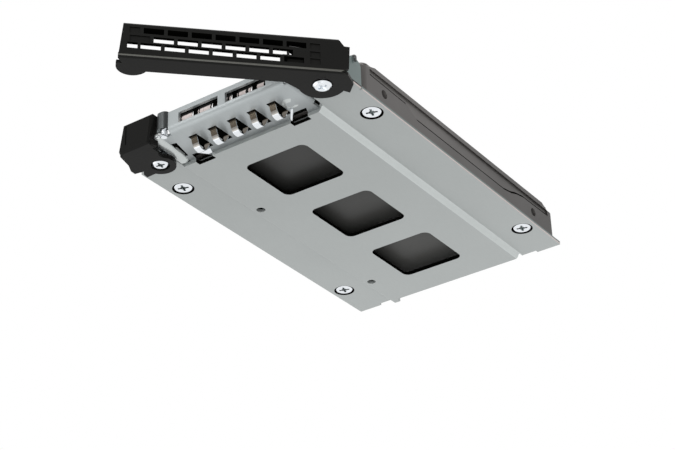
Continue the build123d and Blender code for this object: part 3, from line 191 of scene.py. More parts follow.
def pebble_group():
    """The tiny pebbled skin of powder coat, moulded plastic or a casting."""
    group, given, result = new_group("pebbled_skin", [("Size", 1800.0), ("Spread", 60.0)], ["Tone", "Height"])
    place = object_place(group)
    pebbles = group.nodes.new("ShaderNodeTexVoronoi")
    pebbles.feature = "SMOOTH_F1"
    group.links.new(place, pebbles.inputs["Vector"])
    group.links.new(given.outputs["Size"], pebbles.inputs["Scale"])
    cloud = noise(group, place, given.outputs["Spread"], 3.0, 0.5)
    group.links.new(cloud, result.inputs["Tone"])
    group.links.new(pebbles.outputs["Distance"], result.inputs["Height"])
    return group


def run_group():
    """A strength that runs smoothly between two places across or along the model, in metres."""
    settings = [("Across", 0.0), ("Along", 1.0), ("Start", 0.0), ("End", 0.1), ("First", 1.0), ("Last", 1.0)]
    group, given, result = new_group("strength_run", settings, ["Strength"])
    parts = group.nodes.new("ShaderNodeSeparateXYZ")
    group.links.new(object_place(group), parts.inputs[0])
    across = maths(group, "MULTIPLY", parts.outputs["X"], given.outputs["Across"])
    along = maths(group, "MULTIPLY", parts.outputs["Y"], given.outputs["Along"])
    ends = [given.outputs[label] for label in ("Start", "End", "First", "Last")]
    strength = ranged(group, maths(group, "ADD", across, along), *ends, smooth=True)
    group.links.new(strength, result.inputs["Strength"])
    return group


GRAIN = grain_group()
PEBBLES = pebble_group()
RUN = run_group()


def new_material(name):
    """A new material with its tree and its main shader."""
    material = bpy.data.materials.new(name)
    material.use_nodes = True
    tree = material.node_tree
    return material, tree, tree.nodes["Principled BSDF"]


def placed(tree, group, **values):
    """A group set into a tree, with its inputs filled by name."""
    node = tree.nodes.new("ShaderNodeGroup")
    node.node_tree = group
    for label, value in values.items():
        node.inputs[label].default_value = value
    return node


def two_tone(tree, mask, dark, light):
    """A colour that runs from dark to light with a mask."""
    mix = tree.nodes.new("ShaderNodeMix")
    mix.data_type = "RGBA"
    tree.links.new(mask, mix.inputs["Factor"])
    mix.inputs["A"].default_value = (*dark, 1.0)
    mix.inputs["B"].default_value = (*light, 1.0)
    return mix.outputs["Result"]


def bump(tree, shader, height, distance):
    node = tree.nodes.new("ShaderNodeBump")
    node.inputs["Distance"].default_value = distance
    tree.links.new(height, node.inputs["Height"])
    tree.links.new(node.outputs["Normal"], shader.inputs["Normal"])


def tone(colour, factor):
    """The same colour lighter or darker."""
    return tuple(min(1.0, part * factor) for part in colour)


def dressed(name, group, settings, colour, contrast, rough, swing, depth):
    """A material whose colour, gloss and height all follow one skin group."""
    material, tree, shader = new_material(name)
    surface = placed(tree, group, **settings)
    mask = surface.outputs["Tone"]
    mixed = two_tone(tree, mask, tone(colour, 1 - contrast), tone(colour, 1 + contrast))
    tree.links.new(mixed, shader.inputs["Base Color"])
    tree.links.new(ranged(tree, mask, 0.0, 1.0, rough + swing, rough - swing), shader.inputs["Roughness"])
    bump(tree, shader, surface.outputs["Height"], depth)
    return material, shader


def sheet_metal(name, colour, rough, metal=1.0, contrast=0.15):
    """Rolled or plated sheet: a drawn-out grain in colour, gloss and height."""
    settings = {"Amount": 0.5, "Draw": 0.15}
    material, shader = dressed(name, GRAIN, settings, colour, contrast, rough, 0.08, 0.004 * MM)
    shader.inputs["Metallic"].default_value = metal
    return material


def pebbled(name, colour, rough, metal=0.0, level=0.5):
    """Powder coat, moulded plastic, casting or film: a pebbled skin with a cloudy tone."""
    material, shader = dressed(name, PEBBLES, {"Size": 1800.0}, colour, 0.2, rough, 0.06, 0.01 * MM)
    shader.inputs["Metallic"].default_value = metal
    shader.inputs["Specular IOR Level"].default_value = level
    return material


def paint_light_and_shade(material, axis, start, end, first, last):
    """Paints light and shade into a material's colour, running it from one strength to another on an axis of
    the model, as reflections do.
    """
    tree = material.node_tree
    socket = tree.nodes["Principled BSDF"].inputs["Base Color"]
    plain = socket.links[0].from_socket
    run = placed(tree, RUN, Across=float(axis == "X"), Along=float(axis == "Y"),
                 Start=start * MM, End=end * MM, First=first, Last=last)
    strength = tree.nodes.new("ShaderNodeVectorMath")
    strength.operation = "SCALE"
    tree.links.new(plain, strength.inputs[0])
    tree.links.new(run.outputs["Strength"], strength.inputs["Scale"])
    tree.links.new(strength.outputs[0], socket)


def tongue_sheen():
    """Painted highlight patches low on the spring tongues and painted shade above them, as seen through the
    wall's windows.
    """
    material, tree, shader = new_material("tongue_sheen")
    parts = tree.nodes.new("ShaderNodeSeparateXYZ")
    tree.links.new(object_place(tree), parts.inputs[0])
    low = ranged(tree, parts.outputs["Z"], 4.95 * MM, 5.25 * MM, 1.0, 0.0)
    along = tree.nodes.new("ShaderNodeCombineXYZ")
    tree.links.new(parts.outputs["X"], along.inputs[0])
    patches = maths(tree, "GREATER_THAN", noise(tree, along.outputs[0], 700.0, 1.0, 0.4), 0.44)
    mask = maths(tree, "MULTIPLY", low, patches)
    tree.links.new(two_tone(tree, mask, SHADOW_BLACK, TONGUE_SHINE), shader.inputs["Base Color"])
    shader.inputs["Roughness"].default_value = 0.35
    shader.inputs["Specular IOR Level"].default_value = 0.1
    return material


finishes = {
    "zinc_plate": sheet_metal("zinc_plate", ZINC, 0.42, metal=0.45, contrast=0.06),
    "zinc_bracket": sheet_metal("zinc_bracket", BRACKET_ZINC, 0.34, metal=0.5, contrast=0.10),
    "spring_steel": sheet_metal("spring_steel", STAINLESS, 0.16),
    # Bright plating on the screws, also used as a painted highlight on the fingers' cut edges and lowest
    # bends and on the relief lips
    "bright_zinc": sheet_metal("bright_zinc", BRIGHT_PLATING, 0.22),
    "dark_wire": sheet_metal("dark_wire", DARK_WIRE, 0.30),
    "bright_wire": sheet_metal("bright_wire", tone(BRIGHT_PLATING, 0.85), 0.30),
    "cover_steel": pebbled("cover_steel", COVER_GREY, 0.42, metal=0.3),
    "cover_screw": sheet_metal("cover_screw", tone(COVER_GREY, 1.4), 0.30),
    "gold_contact": sheet_metal("gold_contact", GOLD, 0.22),
    "black_coat": pebbled("black_coat", BLACK_PAINT, 0.36, level=0.08),
    "black_moulding": pebbled("black_moulding", BLACK_PLASTIC, 0.32, level=0.08),
    "shadow_black": pebbled("shadow_black", SHADOW_BLACK, 0.7, level=0.0),
    "fold_shine": pebbled("fold_shine", FOLD_SHINE, 0.35, level=0.3),
    # A lighter copy of the zinc: painted highlight on the pan's fold, the bracket's bends and relief wall,
    # and the bead
    "fold_zinc": sheet_metal("fold_zinc", tone(ZINC, 1.45), 0.30, metal=0.5, contrast=0.06),
    # Colour of the bright cut edge: partly burnished sheared metal, partly a painted highlight on the edge
    # bevels
    "sheared_edge": sheet_metal("sheared_edge", SHEARED_EDGE_AND_HIGHLIGHT, 0.40, metal=0.2, contrast=0.06),
    # A darker copy of the zinc: painted shade on the side ear's outer face
    "ear_zinc": sheet_metal("ear_zinc", EAR_PAINTED_SHADE, 0.38, metal=0.3, contrast=0.08),
    # A lighter copy of the casting: painted light on its side steps, top edge and rims
    "cast_step": pebbled("cast_step", tone(CAST_GREY, 1.25), 0.48, metal=0.3),
    # Painted shade in the screws' cross recesses
    "recess_grey": sheet_metal("recess_grey", RECESS_PAINTED_SHADE, 0.40),
    # Painted reflection bands on the spring fingers, a dark one and a pale one
    "bronze_dark": sheet_metal("bronze_dark", tone(STAINLESS, 0.3), 0.30),
    "bronze_light": sheet_metal("bronze_light", PALE_PAINTED_REFLECTION, 0.22),
    "tongue_sheen": tongue_sheen(),
    # A darker copy of the bracket's zinc: painted shade on the wall's roll, deepening towards its right side
    "roll_zinc": sheet_metal("roll_zinc", tone(BRACKET_ZINC, 0.5), 0.30, metal=0.9, contrast=0.15),
    "cast_aluminium": pebbled("cast_aluminium", CAST_GREY, 0.48, metal=0.3),
    "board_green": pebbled("board_green", BOARD_GREEN, 0.35),
    "black_film": pebbled("black_film", FILM_GREY, 0.42, level=0.3),
    "black_connector": pebbled("black_connector", BLACK_PLASTIC, 0.40),
}

# Painted light and shade: axis, start and end in millimetres, strength at the start and at the end
paint_light_and_shade(finishes["zinc_plate"], "Y", -30.0, 68.0, 0.99, 1.12)
paint_light_and_shade(finishes["zinc_bracket"], "Y", -43.0, -35.5, 1.02, 0.62)
paint_light_and_shade(finishes["black_film"], "Y", -20.0, 55.0, 0.72, 1.45)
for name in ("cast_aluminium", "cast_step", "cover_steel"):
    paint_light_and_shade(finishes[name], "Y", -20.0, 60.0, 1.1, 0.72)
paint_light_and_shade(finishes["roll_zinc"], "X", -19.0, -15.6, 1.25, 0.35)

for node in nodes.values():
    for slot in node.material_slots:
        wanted = slot.material.name.split(".")[0] if slot.material else ""
        if wanted in finishes:
            slot.material = finishes[wanted]


# Pieces made here

def link(name, mesh):
    piece = bpy.data.objects.new(name, mesh)
    scene.collection.objects.link(piece)
    return piece


def settled(piece):
    """Turns a piece with modifiers into a plain mesh of its name."""
    mesh = bpy.data.meshes.new_from_object(piece.evaluated_get(bpy.context.evaluated_depsgraph_get()))
    piece.modifiers.clear()
    piece.data = mesh
    mesh.name = piece.name
    return piece


def metres(place):
    return tuple(MM * part for part in place)


def solid_mesh(name, shape, *finish_names):
    """The shape as a mesh with its faces outward and its finishes."""
    bmesh.ops.recalc_face_normals(shape, faces=shape.faces)
    mesh = bpy.data.meshes.new(name)
    shape.to_mesh(mesh)
    shape.free()
    for finish in finish_names:
        mesh.materials.append(finishes[finish])
    return mesh


def cover(shape, rings):
    """Faces between rings of points that follow one another, and one face over each end."""
    count = len(rings[0])
    for first, second in zip(rings, rings[1:]):
        for k in range(count):
            shape.faces.new((first[k], first[(k + 1) % count], second[(k + 1) % count], second[k]))
    shape.faces.new(rings[0])
    shape.faces.new(rings[-1])


def prism(name, outline, low, high, finish):
    """A flat piece's mesh from its outline, bottom and top in millimetres."""
    count = len(outline)
    spots = [metres((x, y, z)) for z in (low, high) for x, y in outline]
    faces = [tuple(reversed(range(count))), tuple(range(count, 2 * count))]
    faces += [(i, (i + 1) % count, count + (i + 1) % count, count + i) for i in range(count)]
    mesh = bpy.data.meshes.new(name)
    mesh.from_pydata(spots, [], faces)
    mesh.materials.append(finishes[finish])
    return mesh


def carried(mesh, body):
    """A piece of the mesh's name, which the CAD doesn't have, on a body."""
    piece = link(mesh.name, mesh)
    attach(piece, body)


def standing_in(piece, body, node_name):
    """A piece that takes a CAD node's place on a body."""
    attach(piece, body)
    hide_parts(node_name)


def edged(node_name, width):
    """A copy of a CAD node with its triangles joined and its edges broken by a small round."""
    mesh = nodes[node_name].data.copy()
    mesh.name = node_name + "_edged"
    shape = bmesh.new()
    shape.from_mesh(mesh)
    bmesh.ops.remove_doubles(shape, verts=shape.verts, dist=0.002 * MM)
    bmesh.ops.dissolve_limit(shape, angle_limit=math.radians(0.5), verts=shape.verts, edges=shape.edges)
    bmesh.ops.recalc_face_normals(shape, faces=shape.faces)
    for face in shape.faces:
        face.smooth = True
    shape.to_mesh(mesh)
    shape.free()
    piece = link(node_name + "_edged", mesh)
    round_off = piece.modifiers.new("round_off", "BEVEL")
    round_off.width = width
    round_off.segments = 2
    round_off.limit_method = "ANGLE"
    round_off.angle_limit = math.radians(35)
    flats = piece.modifiers.new("flats", "WEIGHTED_NORMAL")
    flats.keep_sharp = False
    flats.weight = 100
    return settled(piece)


def repaint(piece, finish, chosen):
    """Gives another finish to the faces that a rule picks by their centre in millimetres and their normal."""
    mesh = piece.data
    mesh.materials.append(finishes[finish])
    index = len(mesh.materials) - 1
    for face in mesh.polygons:
        if chosen(face.center / MM, face.normal):
            face.material_index = index


def near_drive_screw(centre, reach):
    return any(math.hypot(centre.x - x, centre.y - y) < reach for x, y in DRIVE_SCREWS)


def paint_plate(plate):
    # Painted shade on the cut walls of the windows and holes, a painted highlight on the pan's fold, and a
    # ring of painted shade round each screw
    repaint(plate, "shadow_black", lambda c, n: abs(n.z) < 0.6 and abs(c.x) < 19.0 and -34.0 < c.y < 62.0)
    repaint(plate, "fold_zinc", lambda c, n: 0.25 < abs(n.x) < 0.97 and n.z < 0 and 18.0 < c.x < 26.0)
    repaint(plate, "shadow_black", lambda c, n: abs(n.z) < 0.97 and near_drive_screw(c, 3.2))
    # Painted shade on the side ear and on the cut edge under it, and that edge's bright lower corner, partly
    # sheared metal and partly a painted highlight
    repaint(plate, "ear_zinc", lambda c, n: n.x > 0.9 and c.x > 34.5 and c.z > 2.6)
    repaint(plate, "shadow_black", lambda c, n: n.x > 0.95 and c.x > 34.5 and c.z < 2.6)
    repaint(plate, "sheared_edge",
            lambda c, n: (0.2 if c.y > -34 else 0.72) < n.x < 0.97 and (n.z < -0.1 or n.y > 0.3)
            and c.x > 33.8 and c.y < 67.0)


def paint_bracket(bracket):
    # Painted shade on the cut walls in the floor and on the floor's hidden upper side; painted highlights on
    # the right relief's wall and the floor's bends
    repaint(bracket, "shadow_black",
            lambda c, n: abs(n.z) < 0.6 and -43.8 < c.y < -32.8 and -19.5 < c.x < 19.6 and c.z < 1.85)
    repaint(bracket, "shadow_black", lambda c, n: n.z > 0.5 and c.z > 1.7 and c.x < 20)
    repaint(bracket, "fold_zinc",
            lambda c, n: abs(n.z) < 0.6 and n.x > 0.3 and -36.4 < c.y < -33.1 and 11.5 < c.x < 16.0)
    repaint(bracket, "fold_zinc", lambda c, n: -0.985 < n.z < 0.2 and c.z < 0.98 and n.x < 0.2)


def paint_casting(casting):
    # Painted shade on the front end, painted light on the side steps with the top edge, and painted shade on
    # the steps' slanting part
    repaint(casting, "shadow_black", lambda c, n: n.y < -0.95 and c.y < -30.0)
    repaint(casting, "cast_step",
            lambda c, n: (abs(n.x) > 0.9 and 34.3 < abs(c.x) < 34.6)
            or (c.z > 9.6 and abs(c.x) > 33.5 and n.z < 0.9))
    repaint(casting, "shadow_black",
            lambda c, n: 0.15 < abs(n.x) < 0.97 and n.z > 0.05 and abs(c.x) > 34.3 and 5.0 < c.z < 8.4)


def paint_handle(handle):
    # Painted shade on the channel's inside, and a painted highlight on the fold along the face's lower edge
    out = Vector((math.sin(OPEN_ANGLE), -math.cos(OPEN_ANGLE), 0.0))
    repaint(handle, "shadow_black", lambda c, n: n.dot(out) < 0.3 and n.z < 0.5 and c.z > 0.2)
    repaint(handle, "fold_shine", lambda c, n: 0.72 < n.dot(out) < 0.97 and n.z < -0.2 and c.z < 0.1)


def edged_sheets():
    made = {}
    for node_name, body, width in (
            ("base_plate", "tray", 0.10), ("front_bracket", "tray", 0.09), ("handle", "handle", 0.14),
            ("latch", "latch", 0.12), ("drive_casting", "tray", 0.16), ("face_springs", "tray", 0.02)):
        made[node_name] = edged(node_name, width * MM)
        standing_in(made[node_name], body, node_name)
    paint_plate(made["base_plate"])
    paint_bracket(made["front_bracket"])
    paint_casting(made["drive_casting"])
    paint_handle(made["handle"])
    # The spring strip behind the wall's windows: painted shade all over, then painted highlights and shade on
    # the tongues' lower faces
    repaint(made["face_springs"], "shadow_black", lambda c, n: True)
    repaint(made["face_springs"], "tongue_sheen", lambda c, n: n.y < -0.3 and abs(n.z) > 0.1)


# Geometry trees

def geometry_tree(name, inputs):
    """An empty geometry tree with named inputs as (name, kind, default)."""
    tree = bpy.data.node_groups.new(name, "GeometryNodeTree")
    tree.interface.new_socket("Geometry", in_out="INPUT", socket_type="NodeSocketGeometry")
    for label, kind, default in inputs:
        socket = tree.interface.new_socket(label, in_out="INPUT", socket_type=kind)
        if default is not None:
            socket.default_value = default
    tree.interface.new_socket("Geometry", in_out="OUTPUT", socket_type="NodeSocketGeometry")
    return tree, tree.nodes.new("NodeGroupInput"), tree.nodes.new("NodeGroupOutput")


def add(tree, kind, **values):
    """A node with its settings (lower case) and its sockets (as given) filled from numbers or sockets."""
    node = tree.nodes.new(kind)
    for label, value in values.items():
        if label[0].islower():
            setattr(node, label, value)
            continue
        socket = next(one for one in node.inputs if one.name.replace(" ", "_") == label and one.enabled)
        if isinstance(value, bpy.types.NodeSocket):
            tree.links.new(value, socket)
        else:
            socket.default_value = value
    return node


def joined(tree, *parts):
    join = tree.nodes.new("GeometryNodeJoinGeometry")
    for part in reversed(parts):
        tree.links.new(part, join.inputs[0])
    return join.outputs[0]


def close_tree(tree, given, result, geometry):
    """The tree's last steps: real copies, then the finish."""
    real = add(tree, "GeometryNodeRealizeInstances", Geometry=geometry)
    painted = add(tree, "GeometryNodeSetMaterial", Geometry=real.outputs[0], Material=given.outputs["Finish"])
    if "Recess Finish" in given.outputs:
        cut = add(tree, "GeometryNodeInputNamedAttribute", data_type="BOOLEAN", Name="recess")
        chosen = cut.outputs["Attribute"]
        painted = add(tree, "GeometryNodeSetMaterial", Geometry=painted.outputs[0], Selection=chosen,
                      Material=given.outputs["Recess Finish"])
    tree.links.new(painted.outputs[0], result.inputs["Geometry"])


def grown(name, tree, start, finish, **values):
    """Runs a tree on a start mesh and keeps the result as a plain mesh."""
    piece = link(name, start)
    grow = piece.modifiers.new("grow", "NODES")
    grow.node_group = tree
    sockets = {one.name: one.identifier for one in tree.interface.items_tree if one.in_out == "INPUT"}
    for label, value in values.items():
        grow[sockets[label.replace("_", " ")]] = value
    grow[sockets["Finish"]] = finishes[finish]
    if "Recess Finish" in sockets:
        # The cross recesses get painted shade
        grow[sockets["Recess Finish"]] = finishes["recess_grey"]
    return settled(piece)


def spring_tree():
    """Round wire: a coil on the given axis, and the legs as the start mesh gives them, with bent corners."""
    tree, given, result = geometry_tree("wound_spring", [
        ("Turns", "NodeSocketFloat", 4.0), ("Coil Radius", "NodeSocketFloat", 2.2 * MM),
        ("Rise", "NodeSocketFloat", 2.8 * MM), ("Wire Radius", "NodeSocketFloat", 0.35 * MM),
        ("Bend", "NodeSocketFloat", 0.6 * MM), ("Centre", "NodeSocketVector", None),
        ("Start Turn", "NodeSocketFloat", 0.0), ("Finish", "NodeSocketMaterial", None)])
    radius = given.outputs["Coil Radius"]
    spiral = add(tree, "GeometryNodeCurveSpiral", Resolution=48, Rotations=given.outputs["Turns"],
                 Start_Radius=radius, End_Radius=radius, Height=given.outputs["Rise"])
    turn = add(tree, "ShaderNodeCombineXYZ", Z=given.outputs["Start Turn"])
    stood = add(tree, "GeometryNodeTransform", Geometry=spiral.outputs[0],
                Translation=given.outputs["Centre"], Rotation=turn.outputs[0])
    legs = add(tree, "GeometryNodeMeshToCurve", Mesh=given.outputs["Geometry"])
    bent = add(tree, "GeometryNodeFilletCurve", mode="POLY", Curve=legs.outputs[0], Count=6,
               Radius=given.outputs["Bend"])
    section = add(tree, "GeometryNodeCurvePrimitiveCircle", Resolution=14,
                  Radius=given.outputs["Wire Radius"])
    wire = add(tree, "GeometryNodeCurveToMesh", Curve=joined(tree, stood.outputs[0], bent.outputs[0]),
               Profile_Curve=section.outputs[0], Fill_Caps=True)
    smooth = add(tree, "GeometryNodeSetShadeSmooth", Geometry=wire.outputs[0])
    close_tree(tree, given, result, smooth.outputs[0])
    return tree


def polyline(name, *chains):
    """A mesh of open chains of edges, points in millimetres."""
    mesh = bpy.data.meshes.new(name)
    points = []
    edges = []
    for chain in chains:
        first = len(points)
        points += [metres(point) for point in chain]
        edges += [(first + i, first + i + 1) for i in range(len(chain) - 1)]
    mesh.from_pydata(points, edges, [])
    return mesh


def on_handle(u, v, h):
    """A place on the open handle: u along its face, v behind it, h up, in millimetres."""
    along = u - PIVOT_UV[0]
    behind = v - PIVOT_UV[1]
    return (HANDLE_PIVOT[0] + along * math.cos(OPEN_ANGLE) - behind * math.sin(OPEN_ANGLE),
            HANDLE_PIVOT[1] + along * math.sin(OPEN_ANGLE) + behind * math.cos(OPEN_ANGLE), HANDLE_BOTTOM + h)


def handle_springs(tree):
    """The coil with its leg hooked over the side ear, and the leg that goes with the handle."""
    x, y = HANDLE_PIVOT
    low, high, coil = 5.1, 7.2, 2.2
    hook_x, hook_y, hook_top, hook_end = 35.4, -37.15, 10.0, 8.2
    wire = {"Wire_Radius": 0.34 * MM, "Bend": 0.6 * MM, "Coil_Radius": coil * MM}
    legs = polyline("spring_legs", [(x + coil, y, low), (x + coil, hook_y, low), (x + coil, hook_y, hook_top),
                                    (hook_x, hook_y, hook_top), (hook_x, hook_y, hook_end)])
    wound = grown("handle_spring_wire", tree, legs, "dark_wire", Turns=3.125, Rise=(high - low) * MM,
                  Centre=metres((x, y, low)), Start_Turn=0.0, **wire)
    standing_in(wound, "tray", "handle_spring")
    end_u, end_v, end_h = 41.45, 2.5, 4.0
    moving = polyline("moving_leg", [on_handle(PIVOT_UV[0], 3.9, high - HANDLE_BOTTOM),
                                     on_handle(end_u, end_v, high - HANDLE_BOTTOM),
                                     on_handle(end_u, end_v, end_h)])
    leg = grown("handle_spring_leg", tree, moving, "dark_wire", Turns=0.02, Rise=0.01 * MM,
                Centre=metres((x, y, high)), Start_Turn=OPEN_ANGLE - math.radians(90), **wire)
    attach(leg, "handle")


def latch_spring(tree):
    """The small coil on the post, with one leg to the latch and one to the wall's end."""
    x, y = SPRING_POST
    low, high, coil = 0.63, 2.07, 0.75
    latch_end, wall_end = -19.6, -15.62
    legs = polyline("latch_legs", [(x, y - coil, low), (latch_end, y - coil, low)],
                    [(x, y - coil, high), (wall_end, y - coil, high)])
    small = grown("latch_spring_wire", tree, legs, "bright_wire", Turns=5.0, Coil_Radius=coil * MM,
                  Rise=(high - low) * MM, Wire_Radius=0.19 * MM, Bend=0.1 * MM,
                  Centre=metres((x, y, low)), Start_Turn=math.radians(-90))
    standing_in(small, "tray", "latch_spring")


def roll():
    """The wall's end rolled forward into an oval half tube, with the shelf that carries the spring's post."""
    steps, middle, half_width, reach, squareness = 24, -17.2, 1.85, 1.8, 2.5
    wall, play = 0.8, 0.02
    roll_low, roll_high, shelf_low, shelf_high = 2.3, 7.3, 2.35, 3.1

    def oval(grow):
        """The oval's half outline, grown or shrunk by millimetres."""
        turn = [math.pi * i / steps for i in range(steps + 1)]
        power = 2 / squareness
        return [(middle + math.copysign(abs(math.cos(a)) ** power, math.cos(a)) * (half_width + grow),
                 WALL_BACK - math.sin(a) ** power * (reach + grow)) for a in turn]

    def raised(name, outline, low, high):
        shape = bmesh.new()
        face = shape.faces.new([shape.verts.new(metres((x, y, low))) for x, y in outline])
        lifted = bmesh.ops.extrude_face_region(shape, geom=[face])
        bmesh.ops.translate(shape, vec=(0, 0, MM * (high - low)),
                            verts=[one for one in lifted["geom"] if isinstance(one, bmesh.types.BMVert)])
        # The roll and its shelf take the zinc's painted shade
        mesh = solid_mesh(name, shape, "roll_zinc")
        for face in mesh.polygons:
            face.use_smooth = True
        mesh.set_sharp_from_angle(angle=math.radians(40))
        carried(mesh, "tray")

    raised("wall_roll", oval(0.0) + list(reversed(oval(-wall))), roll_low, roll_high)
    raised("roll_shelf", oval(-wall - play), shelf_low, shelf_high)


def keeper():
    """The keeper tab carried on to the next slot, in painted shade, so that the open channel doesn't show
    through there.
    """
    start_u, end_u, front_v, rear_v = 39.9, 41.0, 1.15, 2.0
    low_h, high_h = 1.0, 4.8
    corners = ((start_u, front_v), (end_u, front_v), (end_u, rear_v), (start_u, rear_v))
    outline = [on_handle(u, v, 0.0)[:2] for u, v in corners]
    side = prism("keeper_side", outline, HANDLE_BOTTOM + low_h, HANDLE_BOTTOM + high_h, "shadow_black")
    carried(side, "handle")


def bead():
    """The left slope's edge rolled into a round bead with closed ends."""
    start, end = Vector((-19.95, -47.7, 1.4)), Vector((-21.0, -35.45, 1.4))
    radius, flatness, around, steps = 1.08, 1.45, 28, 8
    along = (end - start).normalized()
    side = along.cross(Vector((0, 0, 1))).normalized()
    up = side.cross(along)
    shape = bmesh.new()
    quarter = [math.pi / 2 * i / steps for i in range(steps + 1)]
    stations = [(start, -math.cos(a), math.sin(a)) for a in quarter[1:]]
    stations += [(end, math.sin(a), math.cos(a)) for a in quarter[:-1]]
    rings = []
    for middle, push, width in stations:
        ring = []
        for k in range(around):
            turn = math.tau * k / around
            out = side * flatness * math.cos(turn) + up * math.sin(turn)
            ring.append(shape.verts.new(MM * (middle + along * radius * push + radius * width * out)))
        rings.append(ring)
    cover(shape, rings)
    for face in shape.faces:
        face.smooth = True
    # The bead is given the zinc's painted highlight
    carried(solid_mesh("wing_bead", shape, "fold_zinc"), "tray")


def notch_lips():
    """The bent lip at the left relief and the raised edge beside the right one, both bright with painted
    highlight.
    """
    left = [(-11.5, -36.25), (-12.3, -34.3), (-13.6, -34.3), (-15.7, -36.75)]
    right = [(16.3, -38.7), (16.9, -38.5), (13.6, -34.3), (13.0, -34.3)]
    top = 0.98
    carried(prism("left_lip", left, 0.86, top, "bright_zinc"), "tray")
    carried(prism("right_lip", right, 0.55, top, "bright_zinc"), "tray")


def relief_lines():
    """Strips of painted shadow in the step along each of the drive's long sides."""
    inner, outer, low, high = 34.435, 34.465, 0.2, 0.85
    run = [(-30.05, 8.1), (-13.05, 7.8), (-8.05, 5.45), (36.8, 5.45), (40.8, 6.15), (43.8, 7.15), (47.8, 7.9),
           (61.8, 8.1)]
    for side, name in ((1, "right_relief_line"), (-1, "left_relief_line")):
        shape = bmesh.new()
        section = ((inner, low), (inner, high), (outer, high), (outer, low))
        rings = [[shape.verts.new(metres((side * x, y, z + lift))) for x, lift in section] for y, z in run]
        cover(shape, rings)
        carried(solid_mesh(name, shape, "shadow_black"), "tray")


def casting_rims():
    """Fills the casting's top bevel along its sides up to a square edge, running out towards the corners."""
    side_x, side_z = 34.93, 9.98
    top_x, top_z = 33.52, 11.4
    bevel_x, bevel_z, push_out, push_up = 34.225, 10.7, 0.71, 0.7
    buried = (34.2, 10.65)
    stations = ((-31.45, 0.03), (-27.5, 1.0), (59.0, 1.0), (63.2, 0.03))
    for side, name in ((1, "right_rim"), (-1, "left_rim")):
        shape = bmesh.new()
        rings = []
        for y, full in stations:
            corner = (bevel_x + push_out * full, bevel_z + push_up * full)
            rings.append([shape.verts.new(metres((side * x, y, z)))
                          for x, z in ((side_x, side_z), corner, (top_x, top_z), buried)])
        cover(shape, rings)
        # The rims take the casting's painted light
        carried(solid_mesh(name, shape, "cast_step"), "tray")


def sheared_edge():
    """The bright band along the plate's right edge: partly the burnished zone that shearing leaves, partly a
    painted highlight.
    """
    inner, outer, front, rear = 34.955, 34.985, -33.9, 67.9
    band = [(inner, front), (outer, front), (outer, rear), (inner, rear)]
    carried(prism("edge_band", band, 1.5, 1.95, "sheared_edge"), "tray")


def rounded_run(corners, steps):
    """A smooth curve through the corners, with steps to each stretch."""
    run = []
    last = len(corners) - 1
    for i in range(last):
        before, start, end, after = (Vector(corners[max(0, min(last, i + k))]) for k in (-1, 0, 1, 2))
        for step in range(steps):
            t = step / steps
            run.append(0.5 * ((2 * start) + (end - before) * t
                              + (2 * before - 5 * start + 4 * end - after) * t * t
                              + (3 * start - before - 3 * end + after) * t ** 3))
    return run + [Vector(corners[-1])]


FINGER_FINISHES = ["spring_steel", "bright_zinc", "shadow_black", "bronze_dark", "bronze_light"]


def finger_finish(side, centre):
    """Which finish a finger's face takes, by its side and its centre in millimetres.

    Sides 1 and 3 are the cut edges, given a painted highlight; side 0 faces the drive and takes painted shade
    at its front; side 2 faces down, where bands of painted reflection and a painted highlight lie.
    """
    if side in (1, 3):
        return "bright_zinc"
    if side == 0:
        return "spring_steel" if centre.y > -39.3 else "shadow_black"
    if centre.z > 0.6:
        return "bronze_dark"
    if centre.z > -0.8:
        return "spring_steel"
    return "bronze_light" if centre.z > -1.6 else "bright_zinc"


def fingers():
    """The strip with its five fingers, each a smooth bow with painted highlights on its cut edges."""
    shape = bmesh.new()
    thick, half = 0.22, 0.95
    count, first_x, pitch = 5, -11.4, 6.3
    bow = [(-44.1, 1.9), (-43.6, 1.88), (-43.3, 1.6), (-43.0, 0.7), (-42.6, -0.4), (-42.1, -1.25),
           (-41.4, -1.78), (-40.5, -1.95), (-39.7, -1.78), (-39.0, -1.3), (-38.5, -0.5), (-38.0, 0.45),
           (-37.5, 1.3), (-37.3, 1.75)]
    fine = rounded_run(bow, 3)

    def bar(x, path):
        rows = []
        for i, spot in enumerate(path):
            run = (path[min(i + 1, len(path) - 1)] - path[max(i - 1, 0)]).normalized()
            side = Vector((-run.y, run.x)) * (thick / 2)
            rows.append([shape.verts.new((MM * px, MM * q.x, MM * q.y))
                         for px, q in ((x - half, spot + side), (x + half, spot + side),
                                       (x + half, spot - side), (x - half, spot - side))])
        for first, second in zip(rows, rows[1:]):
            for k in range(4):
                face = shape.faces.new((first[k], first[(k + 1) % 4], second[(k + 1) % 4], second[k]))
                face.smooth = True
                finish = finger_finish(k, face.calc_center_median() / MM)
                face.material_index = FINGER_FINISHES.index(finish)
        shape.faces.new(rows[0])
        shape.faces.new(list(reversed(rows[-1])))

    for i in range(count):
        bar(first_x + pitch * i, fine)
    low, high = (-14.55, -45.9, 1.8), (16.95, -44.0, 2.0)
    middle = Matrix.Translation([MM * (a + b) / 2 for a, b in zip(low, high)])
    size = Matrix.Diagonal([MM * (b - a) for a, b in zip(low, high)] + [1.0])
    bmesh.ops.create_cube(shape, size=1.0, matrix=middle @ size)
    mesh = solid_mesh("finger_strip", shape, *FINGER_FINISHES)
    mesh.set_sharp_from_angle(angle=math.radians(40))
    standing_in(link("finger_strip", mesh), "tray", "floor_springs")


